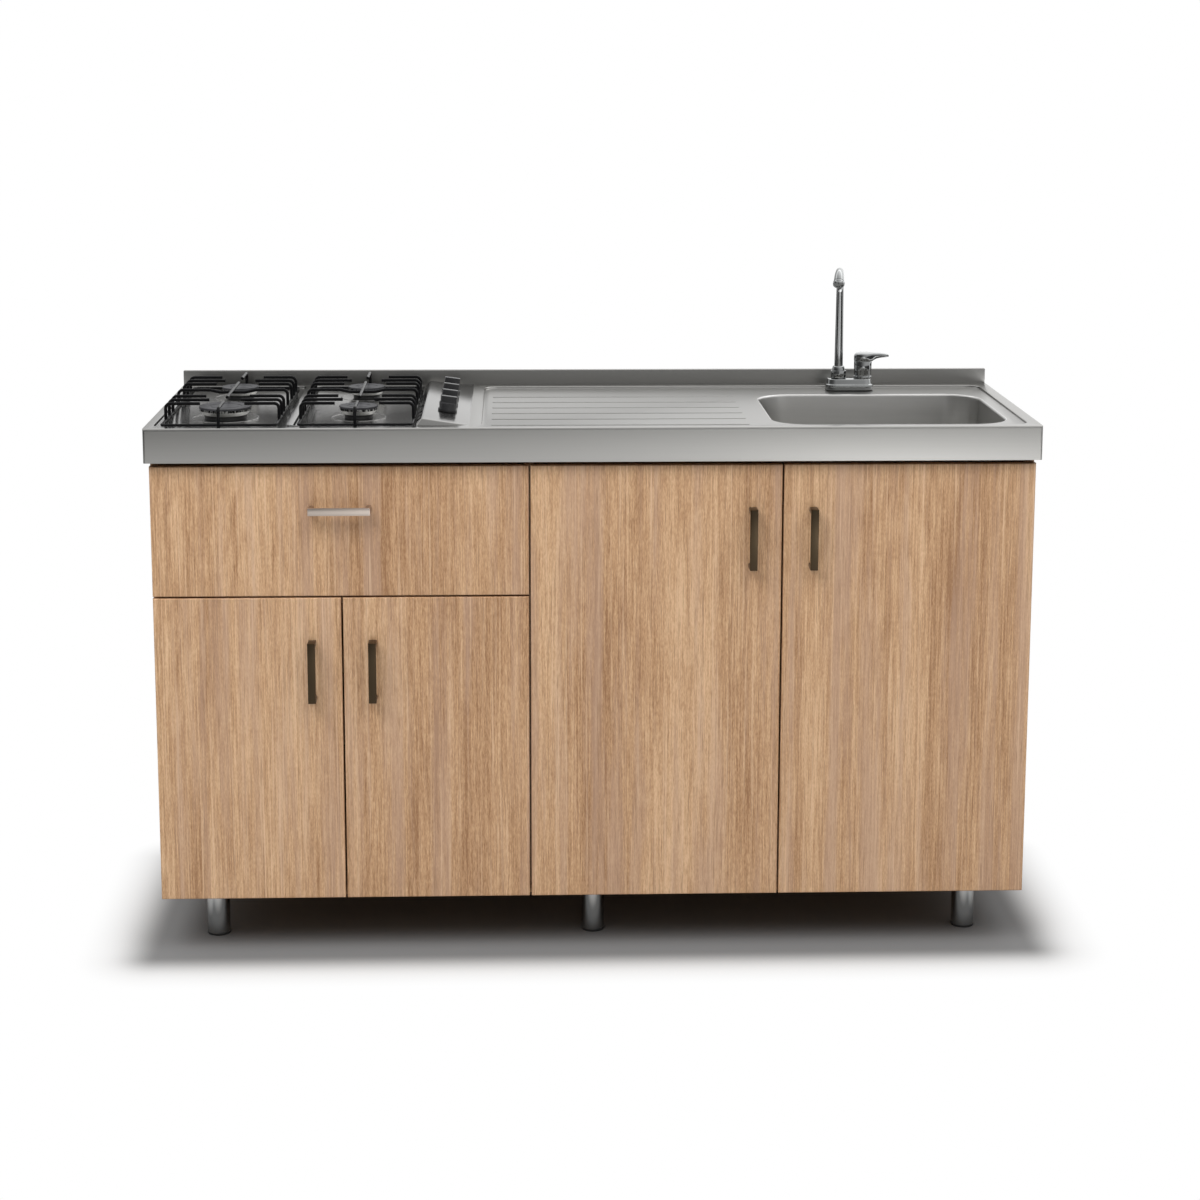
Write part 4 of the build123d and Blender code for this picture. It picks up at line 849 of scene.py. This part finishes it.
# Gas parts, hinges, runners and legs: valves and shanks of brass, zinc-plated steel, chromed leg
# tubes with plastic glides, and the faucet's rubber gasket. All of them keep the CAD shape.
dress(plated("brass", (0.70, 0.50, 0.22), 0.28, 120), "gas_valves", "faucet_shanks")
zinc = plated("zinc", (0.56, 0.57, 0.58), 0.30, 90)
dress(zinc, "gas_manifold", "hob_tray", "leg_plates", "shelf_pins", "hinge_arms")
dress(zinc, "runners_cabinet", "runners_middle", "runners_drawer")
dress(zinc, "hinge_cups_small_left", "hinge_cups_small_right")
dress(zinc, "hinge_cups_tall_left", "hinge_cups_tall_right")
chrome = plated("chrome", (0.46, 0.47, 0.47), 0.06, 30)
dress(chrome, "leg_tubes")
dress(moulded("plastic_dark", (0.03, 0.03, 0.03), 0.45), "leg_glides")
dress(moulded("rubber", (0.02, 0.02, 0.02), 0.7), "faucet_gasket")


# Faucet base: a stepped plate with round corners, die-cast and chromed like the rest of the faucet.
# It stands on its gasket at the rear of the worktop and carries the spout and the mixer.
base_low, base_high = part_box("faucet_base")
base_corner, base_step, step_level, base_taper = 0.017, 0.003, base_low.z + 0.010, (0.965, 0.93)
faucet_base = rounded_box(
    "faucet_base_plate", base_low, (base_high.x, base_high.y, step_level), base_corner, 10
)
pick(faucet_base, "FACE", top_face(step_level))
bpy.ops.mesh.inset(thickness=base_step)
extrude_up(base_high.z - step_level)
spread(*base_taper, ((base_low.x + base_high.x) / 2, (base_low.y + base_high.y) / 2))
put_down()
soften(faucet_base, 0.0012, 3, 35)
fit(faucet_base, chrome, "root", "chrome", "faucet_base")


# Spout: a brass tube drawn thinner towards its bend and wider towards its mouth, in a ten-sided nut
# with a collar over it. It swivels on the base.
spout_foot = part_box("spout")[0].z
spout_axis = Vector((sheet_low.x + 1.215, sheet_low.y + 0.452, 0))
foot_radius, neck_radius, mouth_radius, spout_height = 0.008, 0.0065, 0.0094, 0.227
bend_radius, bend_angle, swing, bend_steps = 0.042, math.radians(140), math.radians(9.5), 28
bend_half_width, bend_waist = 0.007, 0.08
straight_top = deck + spout_height - bend_half_width - bend_radius
forward = Vector((-math.sin(swing), -math.cos(swing), 0))
spout = cylinder_piece("spout_tube", foot_radius, spout_foot, straight_top, spout_axis.xy, 32)
pick(spout, "FACE", top_face(straight_top))
spread(neck_radius / foot_radius, neck_radius / foot_radius, spout_axis.xy)
bpy.ops.mesh.spin(
    steps=bend_steps,
    angle=bend_angle,
    center=spout_axis + forward * bend_radius + Vector((0, 0, straight_top)),
    axis=forward.cross(Vector((0, 0, 1))),
)
put_down()
mouth_start, mouth_growth = 1.2, mouth_radius / neck_radius - 0.95
for count in range(1, bend_steps + 1):
    turn = bend_angle * count / bend_steps
    heart = spout_axis + forward * bend_radius * (1 - math.cos(turn))
    heart += Vector((0, 0, straight_top + bend_radius * math.sin(turn)))
    heading = forward * math.sin(turn) + Vector((0, 0, math.cos(turn)))
    pick(
        spout,
        "VERT",
        lambda corner: (corner.co - heart).length < reach and abs((corner.co - heart).dot(heading)) < 0.0002,
    )
    mouth_share = max(0, (turn - mouth_start) / (bend_angle - mouth_start))
    swell = 1 - bend_waist * math.sin(turn) + mouth_growth * mouth_share ** 1.2
    bpy.ops.transform.resize(value=(swell, swell, swell), center_override=heart)
    put_down()
nut_top, collar_foot, collar_top = spout_foot + 0.0145, spout_foot + 0.0142, spout_foot + 0.023
nut_radius, nut_sides, collar_radius, collar_taper = 0.01445, 10, 0.0128, 0.8
nut = cylinder_piece("spout_nut", nut_radius, spout_foot, nut_top, spout_axis.xy, nut_sides)
soften(nut, 0.0012, 2, 30)
collar = cylinder_piece("spout_collar", collar_radius, collar_foot, collar_top, spout_axis.xy, 48)
pick(collar, "FACE", top_face(collar_top))
spread(collar_taper, collar_taper, spout_axis.xy)
put_down()
soften(collar, 0.0015, 3, 30)
join(spout, nut, collar)
fit(spout, chrome, "spout", "chrome", "spout")


# Aerator: a short chromed ring screwed into the spout's mouth, with a raised band and a hollow face.
# It is modelled at the origin and turned to the slant of the mouth.
aerator_radius, aerator_length, aerator_gap = 0.0098, 0.008, 0.001
face_rim, face_sunk, band_inset, band_swell = 0.0025, (0.0003, -0.003), 0.0015, 1.07
aerator = cylinder_piece("aerator_ring", aerator_radius, 0, aerator_length, sides=40)
pick(aerator, "FACE", lambda face: face.normal.z > 0.9)
inset_rows((face_rim, 0), face_sunk)
put_down()
pick(aerator, "FACE", lambda face: abs(face.normal.z) < 0.1 and centre(face).xy.length > 0.009)
bpy.ops.mesh.inset(thickness=band_inset)
spread(band_swell, band_swell, (0, 0))
put_down()
soften(aerator, 0.0005, 2, 30)
outlet = heart + heading * aerator_gap
tilt = Vector((0, 0, 1)).rotation_difference(heading).to_matrix().to_4x4()
aerator.data.transform(Matrix.Translation(outlet) @ tilt)
fit(aerator, chrome, "spout", "chrome", "aerator")


# Mixer body: a turned and chromed barrel with a foot ring and a groove above it, and a dome on top
# on which the lever tips. It turns on the base.
mixer_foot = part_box("mixer_body")[0].z
mixer_axis = Vector((sheet_low.x + 1.260, sheet_low.y + 0.452))
mixer_radius, mixer_top, dome_radius = 0.0165, mixer_foot + 0.032, 0.010
ring_height, groove_depth, groove_height, groove_lip, neck_inset = 0.004, 0.0014, 0.0014, 0.0003, 0.0003


def ball(radius):
    """A sphere round the top of the mixer body."""
    bpy.ops.object.select_all(action="DESELECT")
    bpy.ops.mesh.primitive_uv_sphere_add(
        segments=32, ring_count=16, radius=radius, location=(*mixer_axis, mixer_top)
    )
    bpy.ops.object.transform_apply()
    return bpy.context.object


mixer = cylinder_piece("mixer_body_chrome", mixer_radius, mixer_foot, mixer_foot + ring_height, mixer_axis)
pick(mixer, "FACE", top_face(mixer_foot + ring_height))
bpy.ops.mesh.inset(thickness=groove_depth)
extrude_up(groove_height)
extrude_up(groove_lip)
neck_size = (mixer_radius - neck_inset) / (mixer_radius - groove_depth)
spread(neck_size, neck_size, mixer_axis)
extrude_up(mixer_top - mixer_foot - ring_height - groove_height - groove_lip)
put_down()
soften(mixer, 0.0012, 3, 30)
join(mixer, ball(dome_radius - 0.0001))
fit(mixer, chrome, "mixer", "chrome", "mixer_body")


# Lever: a chromed casting that covers the mixer body's top and reaches out to the side, where it gets
# thinner and narrower. It is drawn out column by column, each at a distance from the mixer's axis and
# with half a width, a lower level and an upper level, and has a pocket for the dome.
lever_low, lever_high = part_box("lever")
lever_columns = (
    (-0.0163, 0.0026, 0, 0.0088),
    (-0.0156, 0.0054, 0, 0.0104),
    (-0.0140, 0.0087, 0, 0.0121),
    (-0.0115, 0.0118, 0, 0.0134),
    (-0.0080, 0.0144, 0, 0.0142),
    (-0.0040, 0.0160, 0, 0.0147),
    (0.0000, 0.0165, 0, 0.0150),
    (0.0045, 0.0160, 0, 0.0150),
    (0.0090, 0.0147, 0, 0.0150),
    (0.0130, 0.0128, 0, 0.0149),
    (0.0165, 0.0110, 0.0004, 0.0148),
    (0.0195, 0.0100, 0.0024, 0.0146),
    (0.0235, 0.0092, 0.0045, 0.0142),
    (0.0285, 0.0084, 0.0056, 0.0142),
    (0.0340, 0.0076, 0.0064, 0.0137),
    (0.0395, 0.0068, 0.0069, 0.0129),
    (0.0440, 0.0058, 0.0072, 0.0119),
    (0.0468, 0.0042, 0.0074, 0.0110),
    (0.0479, 0.0024, 0.0079, 0.0100),
)
lever_start, start_thickness, pocket_radius = lever_columns[0][0], 0.0001, 0.011
lever_round, lever_foot_round = 0.0035, 0.0010
lever = box_piece(
    "lever_chrome",
    (mixer_axis.x + lever_start - start_thickness, mixer_axis.y - mixer_radius, lever_low.z),
    (mixer_axis.x + lever_start, mixer_axis.y + mixer_radius, lever_high.z),
)


def lever_corner(height):
    """A test for the two edges at a height that run along the lever."""
    return lambda edge: (
        abs(centre(edge).z - height) < exact
        and abs(abs(centre(edge).y - mixer_axis.y) - mixer_radius) < exact
    )


round_edges(lever, lever_round, 4, lever_corner(lever_high.z))
round_edges(lever, lever_foot_round, 4, lever_corner(lever_low.z))


def shape_column(old, new):
    """Bring the selected column from one width and pair of levels to the next."""
    x, half, low, high = new
    bpy.ops.transform.resize(
        value=(1, half / old[1], (high - low) / (old[3] - old[2])),
        center_override=(mixer_axis.x + x, mixer_axis.y, lever_low.z + old[2]),
    )
    bpy.ops.transform.translate(value=(0, 0, low - old[2]))


pick(lever, "VERT", lambda corner: True)
shape_column((lever_start, mixer_radius, 0, lever_high.z - lever_low.z), lever_columns[0])
put_down()
pick(lever, "FACE", lambda face: face.normal.x > 0.9)
for old, new in zip(lever_columns, lever_columns[1:]):
    bpy.ops.mesh.extrude_region_move(TRANSFORM_OT_translate={"value": (new[0] - old[0], 0, 0)})
    shape_column(old, new)
put_down()
cut(lever, ball(pocket_radius))
fit(lever, chrome, "lever", "chrome", "lever")


# Handles: flat bars on two legs, die-cast and brushed, screwed on from behind. The drawer's lies
# across and the doors' stand upright.
handle_bar, handle_post, handle_gloss = 0.006, 0.008, 0.30
for node, body in (
    ("handle_drawer", "drawer"),
    ("handle_small_left", "small_door_left"),
    ("handle_small_right", "small_door_right"),
    ("handle_tall_left", "tall_door_left"),
    ("handle_tall_right", "tall_door_right"),
):
    low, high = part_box(node)
    bar = box_piece(node.replace("handle", "bar"), low, high)
    inner_low = Vector((low.x - reach, low.y + handle_bar, low.z - reach))
    inner_high = Vector((high.x + reach, high.y + reach, high.z + reach))
    if node == "handle_drawer":
        inner_low.x, inner_high.x = low.x + handle_post, high.x - handle_post
        metal = satin_steel("nickel_drawer", (0.60, 0.52, 0.46), handle_gloss, (6, 900, 900))
    else:
        inner_low.z, inner_high.z = low.z + handle_post, high.z - handle_post
        metal = satin_steel("bronze_" + node, (0.070, 0.050, 0.030), handle_gloss, (900, 900, 6))
    cut(bar, box_piece("inner", inner_low, inner_high))
    soften(bar, 0.0008, 3, 40)
    fit(bar, metal, body, "handle_metal", node)
